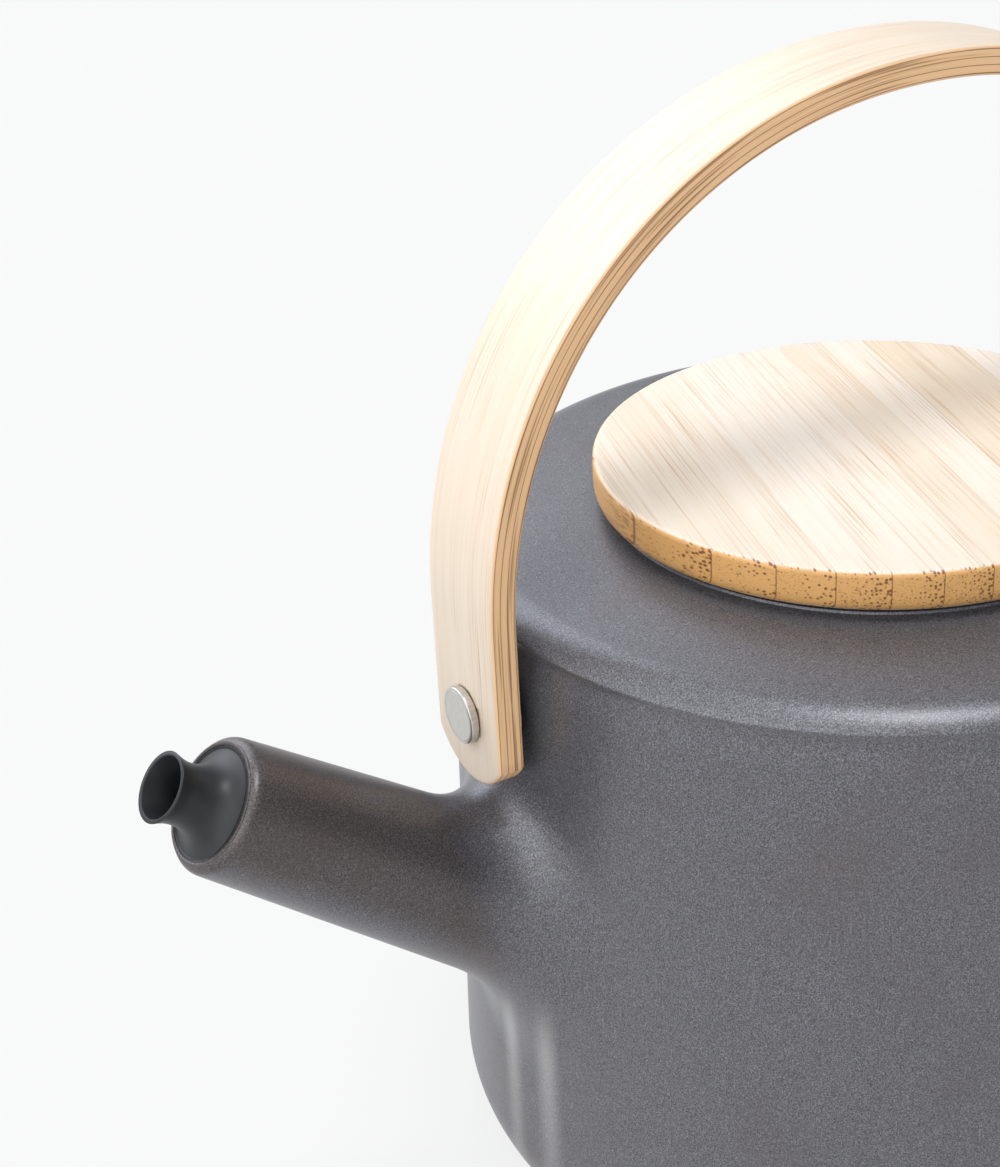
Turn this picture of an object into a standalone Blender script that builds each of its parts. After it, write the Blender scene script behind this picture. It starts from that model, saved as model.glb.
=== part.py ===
"""Teapot with a straight spout, swinging bail handle, flat wooden lid and lift-out infuser.

Lengths are in metres, +Z is up, the spout points to -X and the base rests on z = 0.
"""

import math

import bmesh
import bpy
from mathutils import Matrix, Vector

MM = 0.001

# ---- gaps between pieces -------------------------------------------------
GAP = 0.3 * MM
FACE_GAP = 0.25 * MM
WALL_GAP = 0.45 * MM
INNER_WALL_GAP = 0.6 * MM

# ---- pot ------------------------------------------------------------------
RIDGE_RADIUS = 71.5 * MM
RIDGE_Z = 118.8 * MM
RIDGE_ROUND = 1.0 * MM
RIDGE_ROLL = 7.5 * MM
ROLL_DROP = 1.7 * MM
WALL_FLARE = 3.3 * MM
BASE_ROUND = 16.0 * MM
WALL = 4.2 * MM
FLOOR = 5.5 * MM
SHOULDER_RISE = 4.1 * MM
SHOULDER_THICK = 3.8 * MM
NECK_RISE = 0.7 * MM
INNER_ROUND = 4.5 * MM

# ---- lid --------------------------------------------------------------------
LID_LAP = 3.3 * MM
LID_THICK = 7.2 * MM
LID_LIFT_GAP = 0.6 * MM
LID_TOP_ROUND = 0.7 * MM
LID_FOOT_ROUND = 1.3 * MM
PLUG_DEPTH = 10.0 * MM

# ---- mouth and infuser --------------------------------------------------------
MOUTH_RADIUS = 38.5 * MM
SEAT_WIDTH = 5.1 * MM
SEAT_DEPTH = 3.4 * MM
RIM_THICK = 1.2 * MM
TUBE_THICK = 1.0 * MM
RIM_TUBE_DEPTH = 10.0 * MM
SHEET = 0.8 * MM
BASKET_DEPTH = 70.0 * MM
SLOT_COLUMNS = 16
SLOT_ROWS = 5
SLOT_WIDTH = 1.7 * MM
SLOT_HEIGHT = 8.0 * MM
FLOOR_HOLE = 1.3 * MM

# ---- spout --------------------------------------------------------------------
SPOUT_ANGLE = math.radians(37.1)
SPOUT_SINK = 4.3 * MM
SPOUT_ROOT_Z = 62.5 * MM
SPOUT_LENGTH = 69.9 * MM
SPOUT_ROOT_RADIUS = 13.8 * MM
SPOUT_END_RADIUS = 10.8 * MM
SPOUT_ROOT_SWELL = 2.2 * MM
BORE_ROOT_RADIUS = 9.6 * MM
BORE_END_RADIUS = 7.4 * MM
TIP_SEAT_DEPTH = 1.6 * MM
TIP_SEAT_LAND = 1.0 * MM
TIP_LENGTH = 9.2 * MM
TIP_MOUTH_RADIUS = 5.6 * MM
TIP_WAIST_RADIUS = 4.7 * MM
TIP_SKIN = 0.8 * MM
TIP_SLEEVE = 11.0 * MM

# ---- handle -------------------------------------------------------------------
HANDLE_STANDOFF = 2.483 * MM
HANDLE_WIDTH = 20.0 * MM
HANDLE_THICK = 4.6 * MM
HANDLE_LEG = 16.4 * MM
HANDLE_RISE = 76.9 * MM
HANDLE_POWER = 2.1
HANDLE_FOOT_DROP = 11.9 * MM
HANDLE_FOOT_RADIUS = 12.0 * MM
HANDLE_EASE = 0.6 * MM
PIVOT_DROP = 13.2 * MM

# ---- handle fixings -------------------------------------------------------------
SHANK_RADIUS = 2.4 * MM
HEAD_RADIUS = 4.7 * MM
HEAD_HEIGHT = 1.4 * MM
SLEEVE_THICK = 0.9 * MM
SPACER_RADIUS = 6.5 * MM
SEAL_RADIUS = 6.0 * MM
SEAL_THICK = 1.6 * MM
WASHER_THICK = 1.0 * MM
NUT_RADIUS = 4.8 * MM
NUT_LENGTH = 7.0 * MM

# ---- sizes that follow from the ones above ----------------------------------------
PIVOT_Z = RIDGE_Z - PIVOT_DROP
PIVOT_WALL_X = RIDGE_RADIUS + WALL_FLARE * (RIDGE_Z - PIVOT_Z) / RIDGE_Z
PIVOT_INNER_X = PIVOT_WALL_X - WALL
HANDLE_SPAN = PIVOT_WALL_X + HANDLE_STANDOFF + HANDLE_THICK
HANDLE_SHOULDER_Z = PIVOT_Z + HANDLE_LEG
HANDLE_TOP_Z = HANDLE_SHOULDER_Z + HANDLE_RISE
SPOUT_ROOT_X = SPOUT_SINK - RIDGE_RADIUS
NECK_FOOT_Z = RIDGE_Z + SHOULDER_RISE
NECK_Z = NECK_FOOT_Z + NECK_RISE
LID_BASE_Z = NECK_Z + LID_LIFT_GAP
LID_TOP_Z = LID_BASE_Z + LID_THICK
SEAT_Z = NECK_Z - SEAT_DEPTH
SEAT_RADIUS = MOUTH_RADIUS + SEAT_WIDTH
LID_RADIUS = SEAT_RADIUS + LID_LAP
RIM_BASE_Z = SEAT_Z + GAP
RIM_TOP_Z = RIM_BASE_Z + RIM_THICK
RIM_RADIUS = SEAT_RADIUS - 2 * GAP
TUBE_OUTER = MOUTH_RADIUS - 2 * GAP
TUBE_INNER = TUBE_OUTER - TUBE_THICK
BASKET_OUTER = TUBE_INNER - GAP
BASKET_INNER = BASKET_OUTER - SHEET
BASKET_TOP_Z = RIM_BASE_Z - GAP
BASKET_LOW_Z = BASKET_TOP_Z - BASKET_DEPTH
SEAL_OUTER = BASKET_INNER - 2 * GAP
SEAL_INNER = SEAL_OUTER - 1.9 * MM
PLUG_RADIUS = SEAL_INNER - GAP
PLUG_TOP_Z = LID_BASE_Z - FACE_GAP
PLUG_LOW_Z = PLUG_TOP_Z - PLUG_DEPTH
TIP_FLANGE_RADIUS = SPOUT_END_RADIUS - TIP_SEAT_LAND - GAP

STEPS_POT = 60
STEPS_ROUND = 40
STEPS_SMALL = 20


# ==========================================================================
# helpers
# ==========================================================================
def clear_scene():
    """Remove every object that is already in the scene."""
    for obj in list(bpy.data.objects):
        bpy.data.objects.remove(obj, do_unlink=True)


def new_collection(name):
    """Make a collection in the scene and return it."""
    collection = bpy.data.collections.new(name)
    bpy.context.scene.collection.children.link(collection)
    return collection


def linear(value):
    """Turn one sRGB channel, 0 to 1, into linear light."""
    if value <= 0.04045:
        return value / 12.92
    return ((value + 0.055) / 1.055) ** 2.4


def finish(name, colour, roughness, metallic):
    """Make a named Principled material from a six-digit sRGB colour."""
    material = bpy.data.materials.new(name)
    material.use_nodes = True
    shader = material.node_tree.nodes["Principled BSDF"]
    channels = [linear(int(colour[i:i + 2], 16) / 255.0) for i in (0, 2, 4)]
    shader.inputs["Base Color"].default_value = (*channels, 1.0)
    shader.inputs["Roughness"].default_value = roughness
    shader.inputs["Metallic"].default_value = metallic
    return material


def add_object(name, mesh, collection, material=None, matrix=None):
    """Link a mesh as a named object, placed by a matrix."""
    obj = bpy.data.objects.new(name, mesh)
    collection.objects.link(obj)
    if material:
        mesh.materials.append(material)
    if matrix:
        obj.matrix_world = matrix
    return obj


def arc(centre_r, centre_z, radius, start, end, count):
    """Points of a circular arc in the (r, z) plane, angles in degrees."""
    points = []
    for i in range(count + 1):
        angle = math.radians(start + (end - start) * i / count)
        points.append((centre_r + radius * math.cos(angle), centre_z + radius * math.sin(angle)))
    return points


def turned(name, profile, collection, material=None, matrix=None, steps=STEPS_ROUND, closed=False):
    """Turn a profile of (r, z) points about the object's own Z axis."""
    mesh = bpy.data.meshes.new(name)
    verts = [(r, 0.0, z) for r, z in profile]
    edges = [(i, i + 1) for i in range(len(verts) - 1)]
    if closed:
        edges.append((len(verts) - 1, 0))
    mesh.from_pydata(verts, edges, [])
    obj = add_object(name, mesh, collection, material, matrix)
    screw = obj.modifiers.new("turn", "SCREW")
    screw.axis = "Z"
    screw.steps = steps
    screw.render_steps = steps
    screw.use_merge_vertices = True
    screw.merge_threshold = 0.00001
    screw.use_smooth_shade = True
    return obj


def along_x(side, x, z):
    """Matrix that puts local +Z along world +X (side 1) or -X (side -1) at (x, 0, z)."""
    turn = Matrix.Rotation(side * math.pi / 2, 4, "Y")
    return Matrix.Translation(Vector((x, 0.0, z))) @ turn


def cross_bore(half_step):
    """Matrix of a cutter along X through both pivots, turned so no corner meets a seam."""
    return along_x(1, 0.0, PIVOT_Z) @ Matrix.Rotation(half_step, 4, "Z")


def spout_matrix():
    """Matrix that puts local +Z along the spout, from its root outwards."""
    turn = Matrix.Rotation(-(math.pi / 2 - SPOUT_ANGLE), 4, "Y")
    return Matrix.Translation(Vector((SPOUT_ROOT_X, 0.0, SPOUT_ROOT_Z))) @ turn


def as_cutter(obj):
    """Mark an object as a shape that only cuts or joins."""
    obj.hide_render = True
    obj.display_type = "WIRE"
    return obj


def combine(obj, other, operation):
    """Add an exact Boolean to an object."""
    boolean = obj.modifiers.new(other.name, "BOOLEAN")
    boolean.solver = "EXACT"
    boolean.operation = operation
    boolean.object = other


def outline_solid(name, points, half_depth, collection, matrix, material=None):
    """Extrude a closed flat outline both ways and return it as a mesh object."""
    curve = bpy.data.curves.new(name + "_outline", "CURVE")
    curve.dimensions = "2D"
    curve.fill_mode = "BOTH"
    curve.extrude = half_depth
    spline = curve.splines.new("POLY")
    spline.points.add(len(points) - 1)
    for point, (u, v) in zip(spline.points, points):
        point.co = (u, v, 0.0, 1.0)
    spline.use_cyclic_u = True
    source = bpy.data.objects.new(name + "_outline", curve)
    collection.objects.link(source)
    bpy.context.view_layer.update()
    graph = bpy.context.evaluated_depsgraph_get()
    mesh = bpy.data.meshes.new_from_object(source.evaluated_get(graph))
    bpy.data.objects.remove(source, do_unlink=True)
    work = bmesh.new()
    work.from_mesh(mesh)
    bmesh.ops.remove_doubles(work, verts=work.verts, dist=0.00001)
    bmesh.ops.recalc_face_normals(work, faces=work.faces)
    work.to_mesh(mesh)
    work.free()
    mesh.name = name
    return add_object(name, mesh, collection, material, matrix)


def ring_profile(inner, outer, low, high, ease=0.0):
    """Closed section of a flat ring, eased at its two outer corners."""
    if ease <= 0:
        return [(inner, high), (outer, high), (outer, low), (inner, low)]
    return [
        (inner, high),
        (outer - ease, high),
        (outer, high - ease),
        (outer, low + ease),
        (outer - ease, low),
        (inner, low),
    ]


def disc_profile(radius, low, high, top_round, low_round, count=3):
    """Open section of a solid disc with rounded rims, from the axis over the top to the axis."""
    points = [(0.0, high)]
    points += arc(radius - top_round, high - top_round, top_round, 90, 0, count)
    points += arc(radius - low_round, low + low_round, low_round, 0, -90, count)
    points.append((0.0, low))
    return points


# ==========================================================================
# pot
# ==========================================================================
def wall_radius(z):
    """Outer radius of the pot's wall at height z."""
    return RIDGE_RADIUS + WALL_FLARE * (RIDGE_Z - z) / RIDGE_Z


def pot_outside():
    """Section of the pot as a solid, from the top centre down to the base centre."""
    corner_r = wall_radius(BASE_ROUND) - BASE_ROUND
    neck_r = SEAT_RADIUS + 0.4 * SEAT_WIDTH
    points = [(0.0, NECK_Z), (neck_r, NECK_Z), (neck_r, NECK_FOOT_Z)]
    roll_r = RIDGE_RADIUS - RIDGE_ROLL
    roll_z = RIDGE_Z + ROLL_DROP
    end_r = RIDGE_RADIUS - 0.5 * RIDGE_ROUND
    slope = (NECK_FOOT_Z - roll_z) / (roll_r - neck_r)
    for i in range(6):
        share = i / 5
        fall = slope * RIDGE_ROLL * share + (ROLL_DROP - slope * RIDGE_ROLL) * share ** 2
        points.append((roll_r + (end_r - roll_r) * share, roll_z - fall))
    points.append((RIDGE_RADIUS, RIDGE_Z - 0.6 * RIDGE_ROUND))
    for share in (0.35, 0.7):
        z = RIDGE_Z - RIDGE_ROUND + share * (BASE_ROUND - RIDGE_Z)
        points.append((wall_radius(z), z))
    points += arc(corner_r, BASE_ROUND, BASE_ROUND, 0, -90, 8)
    points.append((0.0, 0.0))
    return points


def pot_inside():
    """Section of the hollow of the pot, with the mouth and the seat for the infuser."""
    under_ridge = RIDGE_Z - SHOULDER_THICK
    top = NECK_Z + 4 * MM
    round_r = BASE_ROUND - WALL
    corner_r = wall_radius(BASE_ROUND) - BASE_ROUND
    points = [(0.0, top), (SEAT_RADIUS, top), (SEAT_RADIUS, SEAT_Z), (MOUTH_RADIUS, SEAT_Z)]
    points.append((MOUTH_RADIUS, SEAT_Z - 1.6 * MM))
    points.append((MOUTH_RADIUS + 2.0 * MM, under_ridge))
    inner_r = wall_radius(under_ridge) - WALL - INNER_ROUND
    points += arc(inner_r, under_ridge - INNER_ROUND, INNER_ROUND, 90, 0, 3)
    points += arc(corner_r, FLOOR + round_r, round_r, 0, -90, 6)
    points.append((0.0, FLOOR))
    return points


def spout_hole():
    """Section of the hole in the pot's wall that the spout's root sits in, with a gap all round."""
    reach = 26 * MM
    taper = (SPOUT_END_RADIUS - SPOUT_ROOT_RADIUS) / SPOUT_LENGTH
    points = [(0.0, reach), (SPOUT_ROOT_RADIUS + taper * reach + GAP, reach)]
    points.append((SPOUT_ROOT_RADIUS + GAP, 0.0))
    points.append((SPOUT_ROOT_RADIUS + SPOUT_ROOT_SWELL + GAP, -8 * MM))
    points.append((SPOUT_ROOT_RADIUS + SPOUT_ROOT_SWELL + GAP, -10 * MM))
    points.append((0.0, -10 * MM))
    return points


def spout_solid():
    """Section of the spout as a solid cone with a rounded lip, from the tip end to the root."""
    lip = 0.6 * MM
    points = [(0.0, SPOUT_LENGTH)]
    points += arc(SPOUT_END_RADIUS - lip, SPOUT_LENGTH - lip, lip, 90, 0, 3)
    points.append((SPOUT_ROOT_RADIUS, 0.0))
    points.append((SPOUT_ROOT_RADIUS + SPOUT_ROOT_SWELL, -8 * MM))
    points.append((0.0, -8 * MM))
    return points


def spout_bore():
    """Section of the spout's bore, with the shallow seat for the rubber tip at its end."""
    seat = SPOUT_END_RADIUS - TIP_SEAT_LAND
    end = SPOUT_LENGTH - TIP_SEAT_DEPTH
    points = [(0.0, SPOUT_LENGTH + 4 * MM), (seat, SPOUT_LENGTH + 4 * MM), (seat, end)]
    points += [(BORE_END_RADIUS, end), (BORE_END_RADIUS, end - TIP_SLEEVE - 2 * MM)]
    points += [(BORE_ROOT_RADIUS, -14 * MM), (0.0, -14 * MM)]
    return points


def make_pot(parts, cutters, material):
    """Hollow pot with its two screw holes, and the spout whose root sits in a hole in the wall."""
    pot = turned("pot_body", pot_outside(), parts, material, steps=STEPS_POT)
    spout = turned("spout_tube", spout_solid(), parts, material, spout_matrix(), steps=36)
    seat = turned("cut_spout_hole", spout_hole(), cutters, matrix=spout_matrix(), steps=36)
    hollow = turned("cut_hollow", pot_inside(), cutters, steps=STEPS_POT)
    bore = turned("cut_bore", spout_bore(), cutters, matrix=spout_matrix(), steps=STEPS_SMALL + 8)
    radius = SHANK_RADIUS + GAP
    reach = PIVOT_WALL_X + 5 * MM
    profile = [(0.0, reach), (radius, reach), (radius, -reach), (0.0, -reach)]
    half_step = math.pi / STEPS_SMALL
    holes = turned("cut_pivot", profile, cutters, matrix=cross_bore(half_step), steps=STEPS_SMALL)
    for tool in (seat, hollow, bore, holes):
        as_cutter(tool)
    combine(pot, hollow, "DIFFERENCE")
    combine(pot, seat, "DIFFERENCE")
    combine(pot, holes, "DIFFERENCE")
    combine(spout, hollow, "DIFFERENCE")
    combine(spout, bore, "DIFFERENCE")


def make_tip(parts, material):
    """Rubber pouring tip: a flange, a waisted spigot and a sleeve down the bore."""
    seat = SPOUT_LENGTH - TIP_SEAT_DEPTH + GAP
    face = SPOUT_LENGTH - 0.2 * MM
    end = face + TIP_LENGTH
    sleeve_r = BORE_END_RADIUS - 0.5 * MM
    bore = TIP_WAIST_RADIUS - TIP_SKIN
    points = [(TIP_MOUTH_RADIUS - TIP_SKIN, end), (TIP_MOUTH_RADIUS, end)]
    points.append((TIP_WAIST_RADIUS + 0.25 * MM, end - 2.0 * MM))
    points.append((TIP_WAIST_RADIUS, end - 3.6 * MM))
    foot = TIP_FLANGE_RADIUS - 1.7 * MM
    points.append((TIP_WAIST_RADIUS + 0.16 * (foot - TIP_WAIST_RADIUS), face + 3.4 * MM))
    points.append((TIP_WAIST_RADIUS + 0.52 * (foot - TIP_WAIST_RADIUS), face + 1.6 * MM))
    points.append((foot, face + 0.5 * MM))
    points.append((TIP_FLANGE_RADIUS - 0.3 * MM, face))
    points.append((TIP_FLANGE_RADIUS, face - 0.3 * MM))
    points.append((TIP_FLANGE_RADIUS, seat))
    points.append((sleeve_r, seat))
    points.append((sleeve_r, seat - TIP_SLEEVE))
    points.append((sleeve_r - 1.2 * MM, seat - TIP_SLEEVE))
    points.append((sleeve_r - 1.2 * MM, seat))
    points.append((bore, face + 3.0 * MM))
    points.append((bore, end - 3.4 * MM))
    turned("spout_tip", points, parts, material, spout_matrix(), steps=32, closed=True)


# ==========================================================================
# lid and infuser
# ==========================================================================
def make_lid(parts, wood, plug_wood, silicone):
    """Flat wooden lid with its plug and the silicone seal round the plug."""
    height = LID_TOP_Z - LID_BASE_Z
    profile = disc_profile(LID_RADIUS, 0.0, height, LID_TOP_ROUND, LID_FOOT_ROUND)
    turned("lid_disc", profile, parts, wood, Matrix.Translation((0, 0, LID_BASE_Z)), steps=64)
    profile = disc_profile(PLUG_RADIUS, 0.0, PLUG_TOP_Z - PLUG_LOW_Z, 0.4 * MM, 1.2 * MM, 2)
    turned("lid_plug", profile, parts, plug_wood, Matrix.Translation((0, 0, PLUG_LOW_Z)))
    low = RIM_TOP_Z + GAP
    flange = RIM_RADIUS - 1.5 * MM
    points = [(SEAL_INNER, PLUG_TOP_Z), (flange, PLUG_TOP_Z), (flange, low), (SEAL_OUTER, low)]
    for rib in range(2):
        z = low - (1.4 + 1.9 * rib) * MM
        points.append((SEAL_OUTER - 0.7 * MM, z))
        points.append((SEAL_OUTER, z - 0.7 * MM))
    seal_low = PLUG_LOW_Z + 1.05 * MM
    points += [(SEAL_OUTER - 0.7 * MM, seal_low), (SEAL_INNER, seal_low)]
    turned("lid_seal", points, parts, silicone, closed=True)


def slot_cutter(cutters):
    """One mesh of upright slots set in rings round the basket."""
    work = bmesh.new()
    pitch = (BASKET_DEPTH - 14 * MM) / SLOT_ROWS
    for row in range(SLOT_ROWS):
        z = BASKET_LOW_Z + 5 * MM + (row + 0.5) * pitch
        for column in range(SLOT_COLUMNS):
            angle = 2 * math.pi * (column + 0.5 * (row % 2)) / SLOT_COLUMNS
            place = Matrix.Rotation(angle, 4, "Z") @ Matrix.Translation((BASKET_OUTER, 0, z))
            size = Matrix.Diagonal((4 * MM, SLOT_WIDTH, SLOT_HEIGHT, 1))
            bmesh.ops.create_cube(work, size=1.0, matrix=place @ size)
    mesh = bpy.data.meshes.new("cut_slots")
    work.to_mesh(mesh)
    work.free()
    return as_cutter(add_object("cut_slots", mesh, cutters))


def floor_cutter(cutters):
    """One mesh of round holes in rings over the basket's floor."""
    work = bmesh.new()
    spots = [(0.0, 0.0)]
    for ring, count in ((1, 6), (2, 10), (3, 14)):
        radius = ring * (BASKET_INNER - 3.8 * MM) / 4
        for i in range(count):
            angle = 2 * math.pi * i / count
            spots.append((radius * math.cos(angle), radius * math.sin(angle)))
    for x, y in spots:
        place = Matrix.Translation((x, y, BASKET_LOW_Z))
        bmesh.ops.create_cone(
            work, cap_ends=True, segments=8, radius1=FLOOR_HOLE, radius2=FLOOR_HOLE,
            depth=6 * MM, matrix=place)
    mesh = bpy.data.meshes.new("cut_floor_holes")
    work.to_mesh(mesh)
    work.free()
    return as_cutter(add_object("cut_floor_holes", mesh, cutters))


def make_infuser(parts, cutters, steel, sheet):
    """Lift-out infuser: a flanged rim, a slotted wall and a pierced floor."""
    points = [(TUBE_INNER, RIM_TOP_Z), (RIM_RADIUS - 0.4 * MM, RIM_TOP_Z)]
    points += [(RIM_RADIUS, RIM_TOP_Z - 0.4 * MM), (RIM_RADIUS, RIM_BASE_Z), (TUBE_OUTER, RIM_BASE_Z)]
    points += [(TUBE_OUTER, RIM_BASE_Z - RIM_TUBE_DEPTH), (TUBE_INNER, RIM_BASE_Z - RIM_TUBE_DEPTH)]
    turned("infuser_rim", points, parts, steel, closed=True)
    profile = ring_profile(BASKET_INNER, BASKET_OUTER, BASKET_LOW_Z, BASKET_TOP_Z)
    wall = turned("infuser_wall", profile, parts, sheet, steps=48, closed=True)
    combine(wall, slot_cutter(cutters), "DIFFERENCE")
    radius = BASKET_INNER - GAP
    profile = [(0.0, BASKET_LOW_Z + SHEET), (radius, BASKET_LOW_Z + SHEET), (radius, BASKET_LOW_Z),
               (0.0, BASKET_LOW_Z)]
    floor = turned("infuser_floor", profile, parts, sheet, steps=40)
    combine(floor, floor_cutter(cutters), "DIFFERENCE")


# ==========================================================================
# handle
# ==========================================================================
def arch_point(span, rise, angle):
    """Point of the arch above its straight legs, angle in radians from the +X leg."""
    power = 2.0 / HANDLE_POWER
    c = math.cos(angle)
    s = math.sin(angle)
    return (math.copysign(abs(c) ** power, c) * span, abs(s) ** power * rise)


def arch_outline():
    """Closed outline of the bent strip, relative to the pivot."""
    base = -HANDLE_FOOT_DROP
    spring = HANDLE_SHOULDER_Z - PIVOT_Z
    outer = []
    inner = []
    count = 44
    rise = HANDLE_TOP_Z - HANDLE_SHOULDER_Z
    for i in range(count + 1):
        angle = math.pi * i / count
        x, z = arch_point(HANDLE_SPAN, rise, angle)
        outer.append((x, z + spring))
        x, z = arch_point(HANDLE_SPAN - HANDLE_THICK, rise - HANDLE_THICK, angle)
        inner.append((x, z + spring))
    inner.reverse()
    points = [(HANDLE_SPAN, base)] + outer + [(-HANDLE_SPAN, base)]
    points += [(HANDLE_THICK - HANDLE_SPAN, base)] + inner + [(HANDLE_SPAN - HANDLE_THICK, base)]
    return points


def foot_outline():
    """Closed outline of the strip seen along the pivot, with shallow round feet."""
    half = HANDLE_WIDTH / 2
    top = HANDLE_TOP_Z - PIVOT_Z + 5 * MM
    centre = HANDLE_FOOT_RADIUS - HANDLE_FOOT_DROP
    reach = math.degrees(math.asin(half / HANDLE_FOOT_RADIUS))
    points = [(half, top), (-half, top)]
    points += arc(0.0, centre, HANDLE_FOOT_RADIUS, -90 - reach, -90 + reach, 14)
    return points


def make_handle(parts, cutters, material):
    """Bent strip handle with a hole for the sleeve in each foot."""
    pivot = Matrix.Translation((0, 0, PIVOT_Z))
    upright = pivot @ Matrix.Rotation(math.pi / 2, 4, "X")
    sideways = pivot @ Matrix(((0, 0, 1, 0), (1, 0, 0, 0), (0, 1, 0, 0), (0, 0, 0, 1)))
    bail = outline_solid("handle_bail", arch_outline(), HANDLE_WIDTH / 2, parts, upright, material)
    reach = HANDLE_SPAN + 4 * MM
    feet = as_cutter(outline_solid("cut_feet", foot_outline(), reach, cutters, sideways))
    radius = SHANK_RADIUS + GAP + SLEEVE_THICK + GAP
    profile = [(0.0, reach), (radius, reach), (radius, -reach), (0.0, -reach)]
    half_step = math.pi / STEPS_SMALL
    hole = turned("cut_eyes", profile, cutters, matrix=cross_bore(half_step), steps=STEPS_SMALL)
    as_cutter(hole)
    combine(bail, feet, "INTERSECT")
    combine(bail, hole, "DIFFERENCE")
    ease = bail.modifiers.new("ease", "BEVEL")
    ease.width = HANDLE_EASE
    ease.segments = 1
    ease.limit_method = "ANGLE"
    ease.angle_limit = math.radians(50)
    ease.use_clamp_overlap = True


def make_fixing(side, word, parts, steel, silicone):
    """Screw, sleeve, spacer, seal, washer and cap nut at one foot of the handle."""
    inner_face = HANDLE_SPAN - HANDLE_THICK
    head_face = HANDLE_SPAN + FACE_GAP
    matrix = along_x(side, 0.0, PIVOT_Z)

    seal_face = PIVOT_INNER_X - INNER_WALL_GAP
    washer_face = seal_face - SEAL_THICK - FACE_GAP
    nut_face = washer_face - WASHER_THICK - FACE_GAP
    nut_end = nut_face - NUT_LENGTH
    shank_end = nut_end + 2.2 * MM

    points = [(0.0, head_face + HEAD_HEIGHT)]
    points.append((HEAD_RADIUS - 0.5 * MM, head_face + HEAD_HEIGHT))
    points.append((HEAD_RADIUS, head_face + HEAD_HEIGHT - 0.4 * MM))
    points += [(HEAD_RADIUS, head_face), (SHANK_RADIUS, head_face)]
    points += [(SHANK_RADIUS, shank_end + 0.4 * MM), (SHANK_RADIUS - 0.4 * MM, shank_end)]
    points.append((0.0, shank_end))
    turned("handle_screw_" + word, points, parts, steel, matrix, steps=28)

    sleeve_in = SHANK_RADIUS + GAP
    low = inner_face + 0.1 * MM
    high = HANDLE_SPAN - 0.1 * MM
    profile = ring_profile(sleeve_in, sleeve_in + SLEEVE_THICK, low, high)
    turned("handle_sleeve_" + word, profile, parts, steel, matrix, STEPS_SMALL, True)

    spacer_low = PIVOT_WALL_X + WALL_GAP
    profile = ring_profile(sleeve_in, SPACER_RADIUS, spacer_low, inner_face - FACE_GAP, 0.3 * MM)
    turned("handle_spacer_" + word, profile, parts, steel, matrix, 24, True)

    profile = ring_profile(sleeve_in, SEAL_RADIUS, seal_face - SEAL_THICK, seal_face, 0.3 * MM)
    turned("pivot_seal_" + word, profile, parts, silicone, matrix, 24, True)

    profile = ring_profile(sleeve_in, SEAL_RADIUS - 0.4 * MM, washer_face - WASHER_THICK, washer_face)
    turned("pivot_washer_" + word, profile, parts, steel, matrix, 24, True)

    skirt = 0.45 * NUT_LENGTH
    make_cap_nut("pivot_nut_" + word, nut_face, nut_end, skirt, shank_end, parts, steel, matrix)


def make_cap_nut(name, face, end, skirt, shank_end, parts, steel, matrix):
    """Domed nut with a blind hole that takes the end of the screw."""
    bore = SHANK_RADIUS + GAP
    squeeze = (face - end - skirt) / NUT_RADIUS
    points = [(0.0, shank_end - 0.5 * MM), (bore, shank_end - 0.5 * MM), (bore, face)]
    points.append((NUT_RADIUS, face))
    for r, z in arc(0.0, 0.0, NUT_RADIUS, 0, -90, 5):
        points.append((r, face - skirt + z * squeeze))
    points[-1] = (0.0, end)
    turned(name, points, parts, steel, matrix, steps=24)


# ==========================================================================
def main():
    """Build every piece of the teapot."""
    clear_scene()
    parts = new_collection("teapot")
    cutters = new_collection("teapot_cutters")
    glaze = finish("pot_grey", "3b3b3d", 0.55, 0.0)
    bamboo = finish("lid_bamboo", "d9b98a", 0.5, 0.0)
    plug = finish("plug_bamboo", "c9a877", 0.55, 0.0)
    strip = finish("handle_bamboo", "d8bb8f", 0.5, 0.0)
    steel = finish("fixing_steel", "b9b9b6", 0.32, 1.0)
    sheet = finish("infuser_steel", "b3b4b4", 0.3, 1.0)
    rubber = finish("tip_rubber", "1b1b1d", 0.5, 0.0)
    silicone = finish("seal_silicone", "8c8a86", 0.6, 0.0)
    make_pot(parts, cutters, glaze)
    make_tip(parts, rubber)
    make_handle(parts, cutters, strip)
    make_fixing(-1, "spout_side", parts, steel, silicone)
    make_fixing(1, "rear_side", parts, steel, silicone)
    make_lid(parts, bamboo, plug, silicone)
    make_infuser(parts, cutters, steel, sheet)


main()
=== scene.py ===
"""Looks of the drum teapot: speckled pot with a blended spout, bent bamboo bail, bamboo lid, rubber tip."""

import logging
import math
from dataclasses import dataclass
from enum import Enum
from typing import Any, Callable, Optional, Sequence

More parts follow.
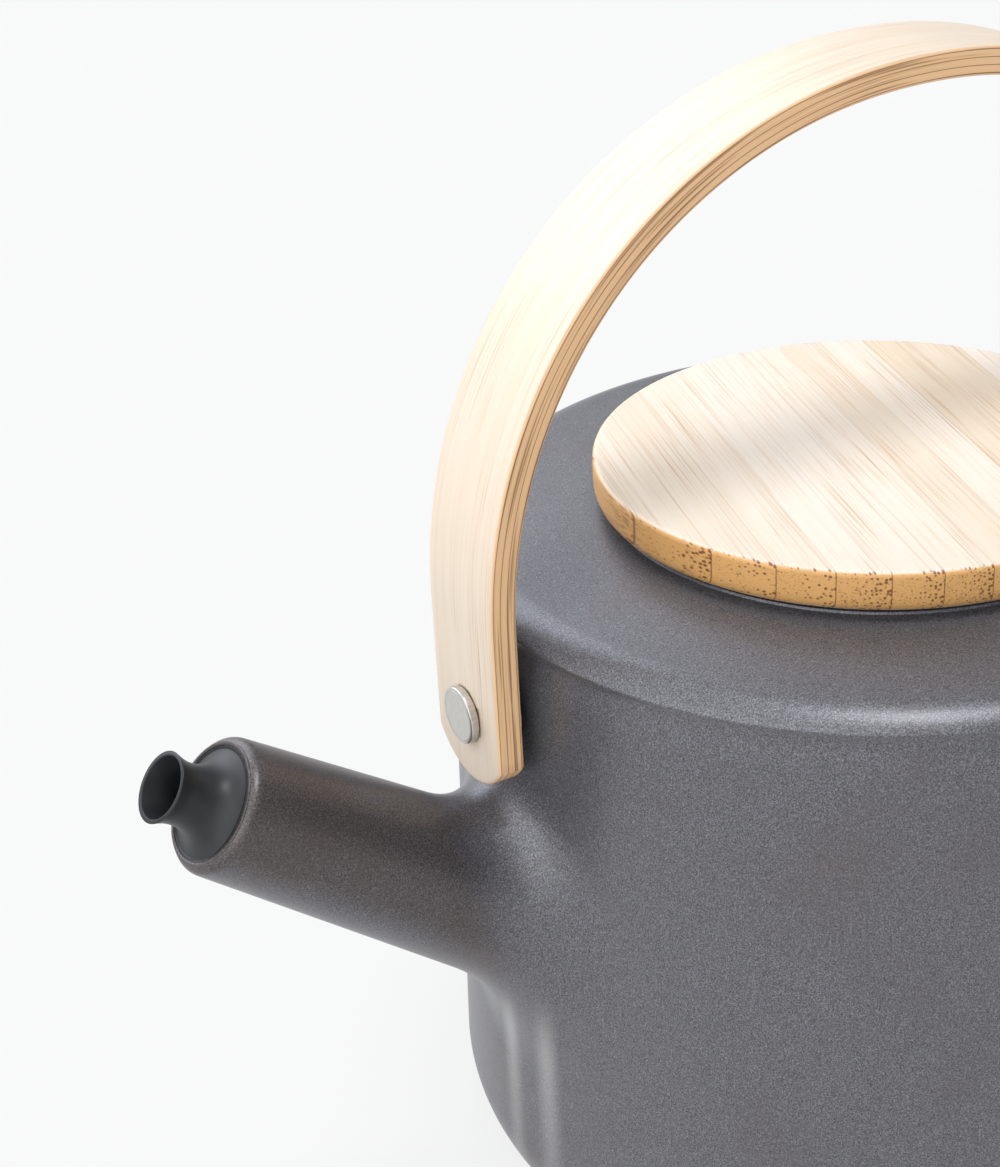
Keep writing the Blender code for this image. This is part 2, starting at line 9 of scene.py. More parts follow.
import bmesh
import bpy
import numpy as np
from mathutils import Euler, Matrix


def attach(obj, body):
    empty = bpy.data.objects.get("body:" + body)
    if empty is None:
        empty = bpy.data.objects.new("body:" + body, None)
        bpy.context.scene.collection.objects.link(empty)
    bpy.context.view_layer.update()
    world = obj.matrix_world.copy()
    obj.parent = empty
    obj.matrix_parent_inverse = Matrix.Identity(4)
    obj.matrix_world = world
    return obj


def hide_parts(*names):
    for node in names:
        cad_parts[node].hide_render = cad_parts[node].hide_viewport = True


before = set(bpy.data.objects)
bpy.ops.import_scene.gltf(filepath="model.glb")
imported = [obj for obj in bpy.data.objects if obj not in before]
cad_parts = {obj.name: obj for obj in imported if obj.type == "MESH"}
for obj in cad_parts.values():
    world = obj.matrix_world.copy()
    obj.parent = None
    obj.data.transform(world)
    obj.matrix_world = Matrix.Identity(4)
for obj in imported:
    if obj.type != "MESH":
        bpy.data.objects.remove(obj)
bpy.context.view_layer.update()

LOG = logging.getLogger("teapot")
MM = 0.001
Array = np.ndarray
Pair = tuple[Array, Array]
Corners = Sequence[tuple[float, float, float]]
Tree = bpy.types.NodeTree
Node = bpy.types.Node
Socket = bpy.types.NodeSocket
Material = bpy.types.Material
Piece = bpy.types.Object


class Grain(Enum):
    """Which way the fibres of a bamboo piece are looked up."""

    ACROSS_LID = "object"
    ALONG_STRIP = "grain"


# ==========================================================================
# small helpers
# ==========================================================================
def linear(hex_colour: str) -> tuple[float, float, float, float]:
    """Turn an sRGB hex colour into linear light.

    Args:
        hex_colour: six hex digits.

    Returns:
        Linear red, green and blue, and an alpha of 1.
    """
    value = np.array([int(hex_colour[i:i + 2], 16) / 255.0 for i in (0, 2, 4)])
    low = value / 12.92
    high = ((value + 0.055) / 1.055) ** 2.4
    red, green, blue = np.where(value <= 0.04045, low, high)
    return float(red), float(green), float(blue), 1.0


def feed(tree: Tree, node: Node, links: dict[Any, Any]) -> None:
    """Fill a node's inputs.

    Args:
        tree: node tree of the node.
        node: the node.
        links: input name or number to an output socket or a plain value.
    """
    for socket, value in links.items():
        target = node.inputs[socket]
        if isinstance(value, Socket):
            tree.links.new(value, target)
        else:
            target.default_value = value


def add(tree: Tree, kind: str, links: Optional[dict[Any, Any]] = None,
        **settings: Any) -> Node:
    """Add one node, set it up and fill its inputs.

    Args:
        tree: node tree that gets the node.
        kind: Blender's node type.
        links: input name or number to an output socket or a plain value.
        settings: attributes of the node.

    Returns:
        The new node.
    """
    node = tree.nodes.new(kind)
    for name, value in settings.items():
        setattr(node, name, value)
    feed(tree, node, links or {})
    return node


def ramp(tree: Tree, factor: Socket,
         stops: Sequence[tuple[float, Any]]) -> Socket:
    """Add a colour ramp.

    Args:
        tree: node tree that gets the ramp.
        factor: socket that drives it.
        stops: positions with an sRGB hex colour or a grey value each.

    Returns:
        The ramp's colour output.
    """
    node = add(tree, "ShaderNodeValToRGB", {"Fac": factor})
    points = node.color_ramp.elements
    while len(points) < len(stops):
        points.new(0.5)
    for point, (place, colour) in zip(points, stops):
        point.position = place
        point.color = linear(colour) if isinstance(colour, str) else (colour, colour, colour, 1.0)
    return node.outputs["Color"]


def spread(tree: Tree, value: Socket, start: float, end: float,
           low: float = 0.0, high: float = 1.0, smooth: bool = False) -> Socket:
    """Map a value onto a new range and hold it at the ends.

    Args:
        tree: node tree.
        value: socket to map.
        start: value that becomes low.
        end: value that becomes high.
        low: result at the start.
        high: result at the end.
        smooth: True to ease in and out.

    Returns:
        The mapped value.
    """
    node = add(tree, "ShaderNodeMapRange", {
        "Value": value, "From Min": start, "From Max": end, "To Min": low, "To Max": high},
        interpolation_type="SMOOTHSTEP" if smooth else "LINEAR")
    return node.outputs["Result"]


def calculate(tree: Tree, operation: str, *values: Any) -> Socket:
    """Add a math node on one to three values and return its output."""
    return add(tree, "ShaderNodeMath", dict(enumerate(values)), operation=operation).outputs[0]


def mix_colours(tree: Tree, factor: Any, first: Any, second: Any,
                blend: str = "MIX") -> Socket:
    """Mix two colours and return the output."""
    node = add(tree, "ShaderNodeMix", None, data_type="RGBA", blend_type=blend)
    feed(tree, node, {0: factor, 6: first, 7: second})
    return node.outputs[2]


def coordinate(tree: Tree, kind: str) -> Socket:
    """Return one of the surface's coordinates, such as Object or Normal."""
    return add(tree, "ShaderNodeTexCoord").outputs[kind]


def component(tree: Tree, vector: Socket, axis: str) -> Socket:
    """Return the X, Y or Z part of a vector."""
    return add(tree, "ShaderNodeSeparateXYZ", {"Vector": vector}).outputs[axis]


def own_value(tree: Tree, name: str, output: str) -> Socket:
    """Return an attribute stored on the mesh, as a Vector or a Fac."""
    return add(tree, "ShaderNodeAttribute", None, attribute_name=name).outputs[output]


def facing(tree: Tree, place: Socket,
           heading: Sequence[float]) -> Socket:
    """Return how far a direction points along a heading, from -1 to 1."""
    return add(tree, "ShaderNodeVectorMath", {0: place, 1: tuple(heading)},
               operation="DOT_PRODUCT").outputs["Value"]


def new_material(name: str) -> tuple[Material, Tree, Node]:
    """Make a material and return it with its tree and its Principled shader."""
    material = bpy.data.materials.new(name)
    material.use_nodes = True
    tree = material.node_tree
    return material, tree, tree.nodes["Principled BSDF"]


def scaled_place(tree: Tree, place: Socket, scale: Sequence[float],
                 turn: float = 0.0) -> Socket:
    """Turn and scale a position.

    Args:
        tree: node tree.
        place: position in metres.
        scale: factors along the three axes, per metre.
        turn: rotation about Z in radians.

    Returns:
        The mapped position.
    """
    node = add(tree, "ShaderNodeMapping", {
        "Vector": place, "Scale": tuple(scale), "Rotation": (0.0, 0.0, turn)})
    return node.outputs["Vector"]


def noise(tree: Tree, place: Socket, scale: float = 1.0,
          detail: float = 2.0, rough: float = 0.5) -> Socket:
    """Add a noise texture on a position and return its value."""
    node = add(tree, "ShaderNodeTexNoise", {
        "Vector": place, "Scale": scale, "Detail": detail, "Roughness": rough, "Distortion": 0.0})
    return node.outputs["Fac"]


def relief(tree: Tree, height: Socket, strength: float, depth_mm: float,
           under: Optional[Socket] = None) -> Socket:
    """Tilt the surface normal by a height.

    Args:
        tree: node tree.
        height: socket with the height.
        strength: share of the effect.
        depth_mm: depth of the relief in millimetres.
        under: optional normal to start from.

    Returns:
        The new normal.
    """
    links = {"Height": height, "Strength": strength, "Distance": depth_mm * MM}
    if under is not None:
        links["Normal"] = under
    return add(tree, "ShaderNodeBump", links).outputs["Normal"]


# ==========================================================================
# finishes
# ==========================================================================
@dataclass(frozen=True)
class SpeckledEnamel:
    """Matte enamel on cast iron: dark grey, satin where it faces the light, with a fine grit of specks.

    The enamel is fused glass with mineral grit, so its highlight is broad and breaks into sparkles,
    and thin places show a little brown from the iron. The upper side of the spout gets a brownish tint
    that is partly its own tone and partly painted shade, and two pale upright streaks under the spout
    are painted reflections. Each streak is its place across the pot, in the direction of the streak
    heading, and its half width, in millimetres.
    """

    ground: str = "5f5f64"
    dark: str = "454549"
    pale: str = "86868d"
    brown: str = "5e5350"
    speck_mm: float = 0.24
    grit_mm: float = 0.576
    cloud_mm: float = 26.0
    roughness: float = 0.34
    metallic: float = 0.5
    # Tint of the spout's upper side: its own brownish tone plus painted shade.
    spout_tint_and_painted_shade: str = "dad0c8"
    spout_from_mm: float = 77.0
    spout_to_mm: float = 90.0
    # Painted reflection streaks under the spout: strength, heading, places, side limit, top and fade
    # heights.
    reflection_streak_share: float = 0.22
    reflection_streak_heading_deg: float = 29.07
    reflection_streak_places: tuple[tuple[float, float], ...] = ((-65.2, 1.9), (-59.3, 2.6))
    reflection_streak_side_mm: float = 12.0
    reflection_streak_top_mm: tuple[float, float] = (60.0, 38.0)
    reflection_streak_fade_mm: tuple[float, float] = (12.0, 48.0)

    def painted_reflection_streaks(self, tree: Tree, place: Socket) -> Socket:
        """Two pale upright streaks low on the wall under the spout, painted reflections that lighten the
        colour.
        """
        turn = math.radians(self.reflection_streak_heading_deg)
        y, z = component(tree, place, "Y"), component(tree, place, "Z")
        across = calculate(tree, "SUBTRACT",
                           calculate(tree, "MULTIPLY", component(tree, place, "X"), math.cos(turn)),
                           calculate(tree, "MULTIPLY", y, math.sin(turn)))
        share = calculate(tree, "LESS_THAN", y, self.reflection_streak_side_mm * MM)
        shapes = []
        for middle, half in self.reflection_streak_places:
            away = calculate(tree, "ABSOLUTE", calculate(tree, "SUBTRACT", across, middle * MM))
            shapes.append(spread(tree, away, half * MM, 0.0, smooth=True))
        below = spread(tree, z, self.reflection_streak_top_mm[0] * MM, self.reflection_streak_top_mm[1] * MM, smooth=True)
        fade = spread(tree, z, self.reflection_streak_fade_mm[0] * MM, self.reflection_streak_fade_mm[1] * MM, 0.35, 1.0)
        for factor in (calculate(tree, "ADD", *shapes), below, fade, self.reflection_streak_share):
            share = calculate(tree, "MULTIPLY", share, factor)
        return share

    def spout_tint_and_shade_share(self, tree: Tree, place: Socket) -> Socket:
        """Share of the brownish tint and painted shade on the upper side of the spout, 0 on the drum and 1
        past the blend.
        """
        beyond = spread(tree, component(tree, place, "X"), -self.spout_from_mm * MM,
                        -self.spout_to_mm * MM, smooth=True)
        # Painted shade: faces turned down, where floor bounce falls, keep their colour; the rest of the
        # spout is darkened.
        up = component(tree, coordinate(tree, "Normal"), "Z")
        return calculate(tree, "MULTIPLY", beyond, spread(tree, up, -0.62, -0.1, smooth=True))

    def material(self) -> Material:
        """Build the material."""
        material, tree, shader = new_material("speckled_enamel")
        place = coordinate(tree, "Object")
        speck = noise(tree, place, 1.0 / (self.speck_mm * MM), 3.0, 0.7)
        grit = noise(tree, place, 1.0 / (self.grit_mm * MM), 2.0, 0.6)
        cloud = noise(tree, place, 1.0 / (self.cloud_mm * MM), 3.0, 0.55)
        base = ramp(tree, speck, [(0.34, self.dark), (0.5, self.ground), (0.66, self.pale)])
        tinted = mix_colours(tree, ramp(tree, cloud, [(0.52, 0.0), (0.74, 0.42)]), base, linear(self.brown))
        shade = ramp(tree, grit, [(0.3, 0.9), (0.7, 1.08)])
        colour = mix_colours(tree, 0.6, tinted, shade, "MULTIPLY")
        # Brownish tint that also paints shade onto the upper side of the spout.
        darker = mix_colours(tree, 1.0, colour, linear(self.spout_tint_and_painted_shade), "MULTIPLY")
        colour = mix_colours(tree, self.spout_tint_and_shade_share(tree, place), colour, darker)
        # Painted reflection: two pale upright streaks under the spout, mixed towards white.
        colour = mix_colours(tree, self.painted_reflection_streaks(tree, place), colour, linear("ffffff"))
        feed(tree, shader, {
            "Base Color": colour, "IOR": 1.5, "Metallic": self.metallic,
            "Roughness": spread(tree, speck, 0.3, 0.7, self.roughness - 0.07, self.roughness + 0.09),
            "Normal": relief(tree, cloud, 0.35, 0.5, relief(tree, speck, 0.5, 0.05))})
        return material


@dataclass(frozen=True)
class Bamboo:
    """Planed bamboo with a clear oil: pale straw, fine brown fibre bundles, darker open pores on end grain.

    Sizes are per strip; the three stretches are how often a pattern repeats per metre across and
    along the fibres.
    """

    name: str
    grain: Grain
    pale: str
    warm: str
    fibre: str
    pore: str
    edge: str
    strip_mm: float
    turn: float = 0.0
    phase_mm: float = 0.0
    roughness: float = 0.42
    streak_stretch: tuple[float, float, float] = (3400.0, 26.0, 3400.0)
    broad_stretch: tuple[float, float, float] = (420.0, 14.0, 420.0)
    gate_stretch: tuple[float, float, float] = (90.0, 40.0, 90.0)
    pore_stretch: tuple[float, float, float] = (1450.0, 30.0, 1450.0)
    strip_shift: tuple[float, float] = (0.173, 0.031)

    def place(self, tree: Tree) -> Socket:
        """Position with X across the strips, Y along the fibres and Z through the thickness, in metres."""
        if self.grain is Grain.ALONG_STRIP:
            return own_value(tree, "grain", "Vector")
        return scaled_place(tree, coordinate(tree, "Object"), (1.0, 1.0, 1.0), self.turn)

    def material(self) -> Material:
        """Build the material."""
        material, tree, shader = new_material(self.name)
        place = self.place(tree)
        across = component(tree, place, "Z" if self.grain is Grain.ALONG_STRIP else "X")
        lane = calculate(tree, "DIVIDE", calculate(tree, "SUBTRACT", across, self.phase_mm * MM),
                         self.strip_mm * MM)
        strip, inside = calculate(tree, "FLOOR", lane), calculate(tree, "FRACT", lane)
        offset = add(tree, "ShaderNodeCombineXYZ", {
            "Y": calculate(tree, "MULTIPLY", strip, self.strip_shift[0]),
            "Z": calculate(tree, "MULTIPLY", strip, self.strip_shift[1])}).outputs["Vector"]
        spot = add(tree, "ShaderNodeVectorMath", {0: place, 1: offset}, operation="ADD").outputs["Vector"]

        tone = add(tree, "ShaderNodeTexWhiteNoise", {"W": strip}, noise_dimensions="1D").outputs["Value"]
        streak = noise(tree, scaled_place(tree, spot, self.streak_stretch), 1.0, 3.0, 0.6)
        broad = noise(tree, scaled_place(tree, spot, self.broad_stretch))
        gate = noise(tree, scaled_place(tree, spot, self.gate_stretch))
        tint = calculate(tree, "ADD", calculate(tree, "MULTIPLY", tone, 0.55),
                         calculate(tree, "MULTIPLY", broad, 0.45))
        body = ramp(tree, tint, [(0.25, self.pale), (0.75, self.warm)])
        amount = calculate(tree, "MULTIPLY", ramp(tree, streak, [(0.52, 0.0), (0.72, 0.85)]),
                           ramp(tree, gate, [(0.4, 0.15), (0.65, 1.0)]))
        face = mix_colours(tree, amount, body, linear(self.fibre))
        edge = mix_colours(tree, amount, linear(self.edge), linear(self.pore))
        sides = self.edge_share(tree)
        colour = mix_colours(tree, sides, face, edge)
        for share in (self.pores(tree, spot, inside), self.joint_lines(tree, inside, sides)):
            colour = mix_colours(tree, share, colour, linear(self.pore))
        feed(tree, shader, {"Base Color": colour, "Normal": relief(tree, streak, 0.35, 0.06),
                            "Roughness": self.roughness, "IOR": 1.45})
        return material

    def pores(self, tree: Tree, spot: Socket,
              inside: Socket) -> Socket:
        """Share of dark fibre bundles, round on end grain, denser towards one side of each strip."""
        cells = add(tree, "ShaderNodeTexVoronoi", {
            "Vector": scaled_place(tree, spot, self.pore_stretch), "Scale": 1.0, "Randomness": 0.75})
        size = spread(tree, inside, 0.25, 1.0, 0.16, 0.4)
        near = calculate(tree, "SUBTRACT", size, cells.outputs["Distance"])
        return calculate(tree, "MULTIPLY", spread(tree, near, -0.06, 0.1), self.end_grain(tree))

    def end_grain(self, tree: Tree) -> Socket:
        """How far the surface cuts across the fibres, 0 to 1."""
        if self.grain is Grain.ALONG_STRIP:
            return calculate(tree, "MULTIPLY", own_value(tree, "side", "Fac"), 0.6)
        turned = scaled_place(tree, coordinate(tree, "Normal"), (1.0, 1.0, 1.0), self.turn)
        size = calculate(tree, "ABSOLUTE", component(tree, turned, "Y"))
        return ramp(tree, size, [(0.05, 0.12), (0.4, 0.85)])

    def edge_share(self, tree: Tree) -> Socket:
        """Share of the tanned edge colour: 1 on the cut sides, 0 on the planed faces."""
        if self.grain is Grain.ALONG_STRIP:
            return own_value(tree, "side", "Fac")
        up = component(tree, coordinate(tree, "Normal"), "Z")
        return ramp(tree, calculate(tree, "ABSOLUTE", up), [(0.6, 1.0), (0.93, 0.0)])

    def joint_lines(self, tree: Tree, inside: Socket,
                    sides: Socket) -> Socket:
        """Share of the thin glue lines between the strips, strongest on the cut sides."""
        away = calculate(tree, "ABSOLUTE", calculate(tree, "SUBTRACT", inside, 0.5))
        width = 0.4 if self.grain is Grain.ALONG_STRIP else 0.483
        line = ramp(tree, away, [(width, 0.0), (0.5, 1.0)])
        return calculate(tree, "MULTIPLY", line, calculate(tree, "MULTIPLY_ADD", sides, 0.68, 0.2))


@dataclass(frozen=True)
class BrushedSteel:
    """Stainless steel turned or brushed: soft streaked highlight."""

    name: str = "brushed_stainless"
    tint: str = "d2d0cc"
    line_tint: str = "bdbbb7"
    roughness: float = 0.3
    brush_stretch: tuple[float, float, float] = (300.0, 5200.0, 900.0)

    def material(self) -> Material:
        """Build the material."""
        material, tree, shader = new_material(self.name)
        place = scaled_place(tree, coordinate(tree, "Object"), self.brush_stretch)
        lines = noise(tree, place, 1.0, 2.0, 0.6)
        feed(tree, shader, {
            "Base Color": ramp(tree, lines, [(0.3, self.line_tint), (0.7, self.tint)]), "Metallic": 1.0,
            "Roughness": spread(tree, lines, 0.0, 1.0, self.roughness - 0.06, self.roughness + 0.1),
            "Normal": relief(tree, lines, 0.2, 0.01)})
        return material


@dataclass(frozen=True)
class SoftRubber:
    """Moulded silicone rubber: even, slightly dusty, with a faint moulding grain."""

    name: str
    colour: str
    dust: str
    roughness: float
    grain_mm: float = 0.5
    cloud_mm: float = 6.0

    def material(self) -> Material:
        """Build the material."""
        material, tree, shader = new_material(self.name)
        place = coordinate(tree, "Object")
        grain = noise(tree, place, 1.0 / (self.grain_mm * MM), 3.0, 0.6)
        cloud = noise(tree, place, 1.0 / (self.cloud_mm * MM))
        base = mix_colours(tree, ramp(tree, cloud, [(0.35, 0.0), (0.7, 0.35)]),
                           linear(self.colour), linear(self.dust))
        specks = ramp(tree, grain, [(0.66, 0.0), (0.78, 0.6)])
        feed(tree, shader, {
            "Base Color": mix_colours(tree, specks, base, linear(self.dust)),
            "Normal": relief(tree, grain, 0.15, 0.03), "Roughness": self.roughness, "IOR": 1.42})
        return material


# ==========================================================================
# surfaces
# ==========================================================================
def grid_faces(rows: int, columns: int, wrap: bool, keep: Optional[Array] = None) -> Array:
    """Quads of a grid of points.

    Args:
        rows: number of point rows.
        columns: number of point columns.
        wrap: True to join the last column to the first.
        keep: optional mask, one value per quad, False where there is a hole.

    Returns:
        Point numbers, four to a face.
    """
    count = columns if wrap else columns - 1
    row, column = np.meshgrid(np.arange(rows - 1), np.arange(count), indexing="ij")
    following = (column + 1) % columns
    quads = np.stack([row * columns + column, row * columns + following,
                      (row + 1) * columns + following, (row + 1) * columns + column], axis=-1)
    if keep is not None:
        return quads[keep]
    return quads.reshape(-1, 4)


class Surface:
    """Collects grids of points and turns them into one closed, outward-facing mesh object."""

    def __init__(self, name: str) -> None:
        """Start an empty surface with the name of its piece."""
        self.name = name
        self.points: list[Array] = []
        self.faces: list[Array] = []
        self.extra: dict[str, list[Array]] = {}
        self.count = 0

    def add_grid(self, points: Array, wrap: bool, keep: Optional[Array] = None, **extra: Array) -> None:
        """Add a grid of points in millimetres.

        Args:
            points: array of rows by columns by 3.
            wrap: True to close the grid on itself.
            keep: optional mask of the quads to keep.
            extra: per-point values stored as attributes, shaped like the points.
        """
        rows, columns = points.shape[:2]
        self.points.append(points.reshape(-1, 3) * MM)
        self.faces.append(grid_faces(rows, columns, wrap, keep) + self.count)
        for key, value in extra.items():
            self.extra.setdefault(key, []).append(value.reshape(rows * columns, -1))
        self.count += rows * columns

    def build(self, material: Material, weld_mm: float = 0.004,
              outward: bool = True) -> Piece:
        """Weld the seams, drop unused points and make the object.

        Args:
            material: finish of the piece.
            weld_mm: distance under which points are one.
            outward: True to turn all faces outwards.

        Returns:
            The object, at the origin.
        """
        mesh = bpy.data.meshes.new(self.name)
        mesh.from_pydata(np.concatenate(self.points), [], np.concatenate(self.faces).tolist())
        for key, values in self.extra.items():
            data = np.concatenate(values)
            kind = "FLOAT_VECTOR" if data.shape[1] == 3 else "FLOAT"
            layer = mesh.attributes.new(key, kind, "POINT")
            layer.data.foreach_set("vector" if kind == "FLOAT_VECTOR" else "value", data.ravel())
        work = bmesh.new()
        work.from_mesh(mesh)
        bmesh.ops.remove_doubles(work, verts=work.verts, dist=weld_mm * MM)
        bmesh.ops.dissolve_degenerate(work, dist=0.0005 * MM, edges=work.edges)
        loose = [v for v in work.verts if not v.link_faces]
        bmesh.ops.delete(work, geom=loose, context="VERTS")
        if outward:
            bmesh.ops.recalc_face_normals(work, faces=work.faces)
        work.to_mesh(mesh)
        work.free()
        mesh.shade_smooth()
        mesh.materials.append(material)
        piece = bpy.data.objects.new(self.name, mesh)
        bpy.context.scene.collection.objects.link(piece)
        return piece


def turn_profile(profile: Array, steps: int) -> Array:
    """Points of a profile turned about Z: radius goes round as cosine and sine.

    Args:
        profile: rows of (radius, height).
        steps: number of columns round the axis.

    Returns:
        Grid of rows by steps by 3.
    """
    angle = np.linspace(0.0, 2.0 * np.pi, steps, endpoint=False)
    radius = profile[:, :1]
    height = np.repeat(profile[:, 1:2], steps, axis=1)
    return np.stack([radius * np.cos(angle), radius * np.sin(angle), height], axis=-1)


def arc(centre: Sequence[float], radius: float, start: float, end: float, count: int) -> Array:
    """Points of an arc, angles in degrees, both ends included."""
    angle = np.radians(np.linspace(start, end, count + 1))
    return np.stack([centre[0] + radius * np.cos(angle), centre[1] + radius * np.sin(angle)], axis=-1)


def line(start: Sequence[float], end: Sequence[float], pitch: float) -> Array:
    """Points of a straight run about one pitch apart, both ends included."""
    length = math.hypot(end[0] - start[0], end[1] - start[1])
    share = np.linspace(0.0, 1.0, max(2, int(round(length / pitch)) + 1))[:, None]
    return np.asarray(start) * (1.0 - share) + np.asarray(end) * share


def joined(parts: Sequence[Array]) -> Array:
    """Put point sequences end to end and drop points that repeat."""
    points = np.concatenate([np.atleast_2d(part) for part in parts])
    step = np.linalg.norm(np.diff(points, axis=0), axis=1)
    return points[np.concatenate([[True], step > 1e-5])]


def rounded_profile(corners: Corners, closed: bool, count: int = 5) -> Array:
    """Round the corners of a profile.

    Each corner is (radius from the axis, height, rounding). A rounding is an arc tangent to both
    sides, drawn as a quadratic through the corner.

    Args:
        corners: the corners in order.
        closed: True if the last corner joins the first.
        count: steps per rounding.

    Returns:
        Profile points.
    """
    spots = np.array([[r, z] for r, z, _ in corners])
    share = np.linspace(0.0, 1.0, count + 1)[:, None]
    out = []
    total = len(corners)
    for i, (_, _, rounding) in enumerate(corners):
        if rounding <= 0 or (not closed and i in (0, total - 1)):
            out.append(spots[i:i + 1])
            continue
        before = spots[i - 1] - spots[i]
        after = spots[(i + 1) % total] - spots[i]
        first = spots[i] + before / np.linalg.norm(before) * rounding
        last = spots[i] + after / np.linalg.norm(after) * rounding
        out.append((1 - share) ** 2 * first + 2 * share * (1 - share) * spots[i] + share ** 2 * last)
    points = joined(out)
    if closed:
        points = np.concatenate([points, points[:1]])
    return points


def carry(points: Array, matrix: Pair) -> Array:
    """Turn and move points: rotation matrix times point plus origin."""
    turn, origin = matrix
    return points @ turn.T + origin


def settle(piece: Piece, body: str, slot: str, *nodes: str) -> None:
    """Ride a finished piece on its body and hide the CAD nodes it stands for."""
    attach(piece, body)
    if nodes:
        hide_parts(*nodes)
    LOG.info("%s: %d faces on %s", piece.name, len(piece.data.polygons), body)


# ==========================================================================
# pot and spout
# ==========================================================================
@dataclass
class Spout:
    """Straight tapered tube on a slanted axis, all sizes in millimetres."""

    root: tuple[float, float, float] = (-67.2, 0.0, 62.5)
    rise_deg: float = 37.1
    length: float = 69.9
    root_radius: float = 13.8
    end_radius: float = 10.8
    lip_round: float = 2.0
    seat_radius: float = 9.8
    seat_depth: float = 1.6
    bore_root_radius: float = 9.6
    bore_radius: float = 7.4
    bore_start: float = -14.0
    bore_end: float = 55.0

    def outside(self, s: Array) -> Array:
        """Outer radius at a distance along the axis, an even taper."""
        return self.root_radius + (self.end_radius - self.root_radius) * s / self.length

    def bore(self, s: Array) -> Array:
        """Inner radius at a distance along the axis, narrowing as far as the tip's sleeve."""
        share = np.clip((s - self.bore_start) / (self.bore_end - self.bore_start), 0.0, 1.0)
        return self.bore_root_radius + (self.bore_radius - self.bore_root_radius) * share

    def axes(self) -> tuple[Array, Array, Array]:
        """Unit vectors: along the spout, sideways and across it in the upright plane."""
        angle = math.radians(self.rise_deg)
        along = np.array([-math.cos(angle), 0.0, math.sin(angle)])
        side = np.array([0.0, 1.0, 0.0])
        up = np.cross(along, side)
        return along, side, -up if up[2] < 0 else up

    def matrix(self) -> Pair:
        """Turn and origin that put a shape turned about Z onto the spout's axis."""
        along, side, _ = self.axes()
        return np.stack([side, np.cross(along, side), along], axis=1), np.array(self.root)

    def ring_points(self, s: Array, radius: Array, angle: Array) -> Array:
        """Points at distance s along the axis, turned by an angle about it."""
        along, side, up = self.axes()
        offset = np.cos(angle)[..., None] * side + np.sin(angle)[..., None] * up
        return np.array(self.root) + s[..., None] * along + radius[..., None] * offset

    def place(self, points: Array) -> Pair:
        """Distance along the axis and distance from it."""
        along = self.axes()[0]
        offset = points - np.array(self.root)
        s = offset @ along
        return s, np.linalg.norm(offset - s[..., None] * along, axis=-1)

    def angle(self, points: Array) -> Array:
        """Angle of each point about the spout's axis."""
        _, side, up = self.axes()
        offset = points - np.array(self.root)
        return np.arctan2(offset @ up, offset @ side)


@dataclass
class TubeBlend:
    """A drum wall and a tube joined with a rounded blend, as a level set."""

    spout: Spout
    wall: Callable[[Array], Array]
    tube: Callable[[Array], Array]
    blend: float

    def value(self, points: Array) -> Array:
        """Signed distance to the blended surface.

        The two distances a and b join as max(k, min(a, b)) - length(max(k - a, 0), max(k - b, 0)),
        limited to min(a, b) far outside, which is a round fillet of radius k.
        """
        radius = np.hypot(points[..., 0], points[..., 1])
        a = radius - self.wall(points[..., 2])
        s, out = self.spout.place(points)
        b = out - self.tube(s)
        k = self.blend
        corner = np.hypot(np.maximum(k - a, 0.0), np.maximum(k - b, 0.0))
        return np.maximum(k, np.minimum(a, b)) - corner

    def project(self, points: Array, rounds: int = 8) -> Array:
        """Move points along the gradient onto the surface, by Newton steps."""
        step = 0.01
        shifts = np.eye(3) * step
        for _ in range(rounds):
            value = self.value(points)
            slope = np.stack([(self.value(points + d) - self.value(points - d)) / (2 * step)
                              for d in shifts], axis=-1)
            size = np.maximum((slope ** 2).sum(axis=-1), 1e-6)
            points = points - np.clip(value / size, -3.0, 3.0)[..., None] * slope
        return points

    def lines(self, border: Array, end_s: float, counts: tuple[int, int]) -> Pair:
        """Lines from a border on the drum to the tube's far end.

        Each line runs along the drum to the crease, then along the tube, and is then laid on the
        blended surface.

        Args:
            border: loop of points on the drum, n by 3.
            end_s: distance along the axis where the lines end.
            counts: steps on the drum and on the tube.

        Returns:
            Grid of points, from the border to the tube's end, by n by 3, and the angles at the end.
        """
        angle = np.unwrap(self.spout.angle(border))
        even = angle[0] + np.linspace(0.0, np.sign(angle[-1] - angle[0]) * 2 * np.pi,
                                      len(border), endpoint=False)
        crease_angle = 0.5 * angle + 0.5 * even
        s = np.full(len(border), 6.0)
        for _ in range(40):
            spot = self.spout.ring_points(s, self.tube(s), crease_angle)
            gap = np.hypot(spot[:, 0], spot[:, 1]) - self.wall(spot[:, 2])
            s = s - gap * 0.8
        crease = self.spout.ring_points(s, self.tube(s), crease_angle)
        share = np.linspace(0.0, 1.0, counts[0] + 1)[1:, None, None] ** 0.9
        on_drum = border * (1 - share) + crease * share
        radius = np.hypot(on_drum[..., 0], on_drum[..., 1])
        fit = (self.wall(on_drum[..., 2]) / radius)[..., None]
        on_drum = np.concatenate([on_drum[..., :2] * fit, on_drum[..., 2:]], axis=-1)
        share = np.linspace(0.0, 1.0, counts[1] + 1)[1:, None] ** 1.5
        s_grid = s * (1 - share) + end_s * share
        swing = crease_angle * (1 - share) + even * share
        on_tube = self.spout.ring_points(s_grid, self.tube(s_grid), swing)
        inner = self.project(np.concatenate([on_drum, on_tube[:-1]]))
        return np.concatenate([border[None], inner, on_tube[-1:]]), even


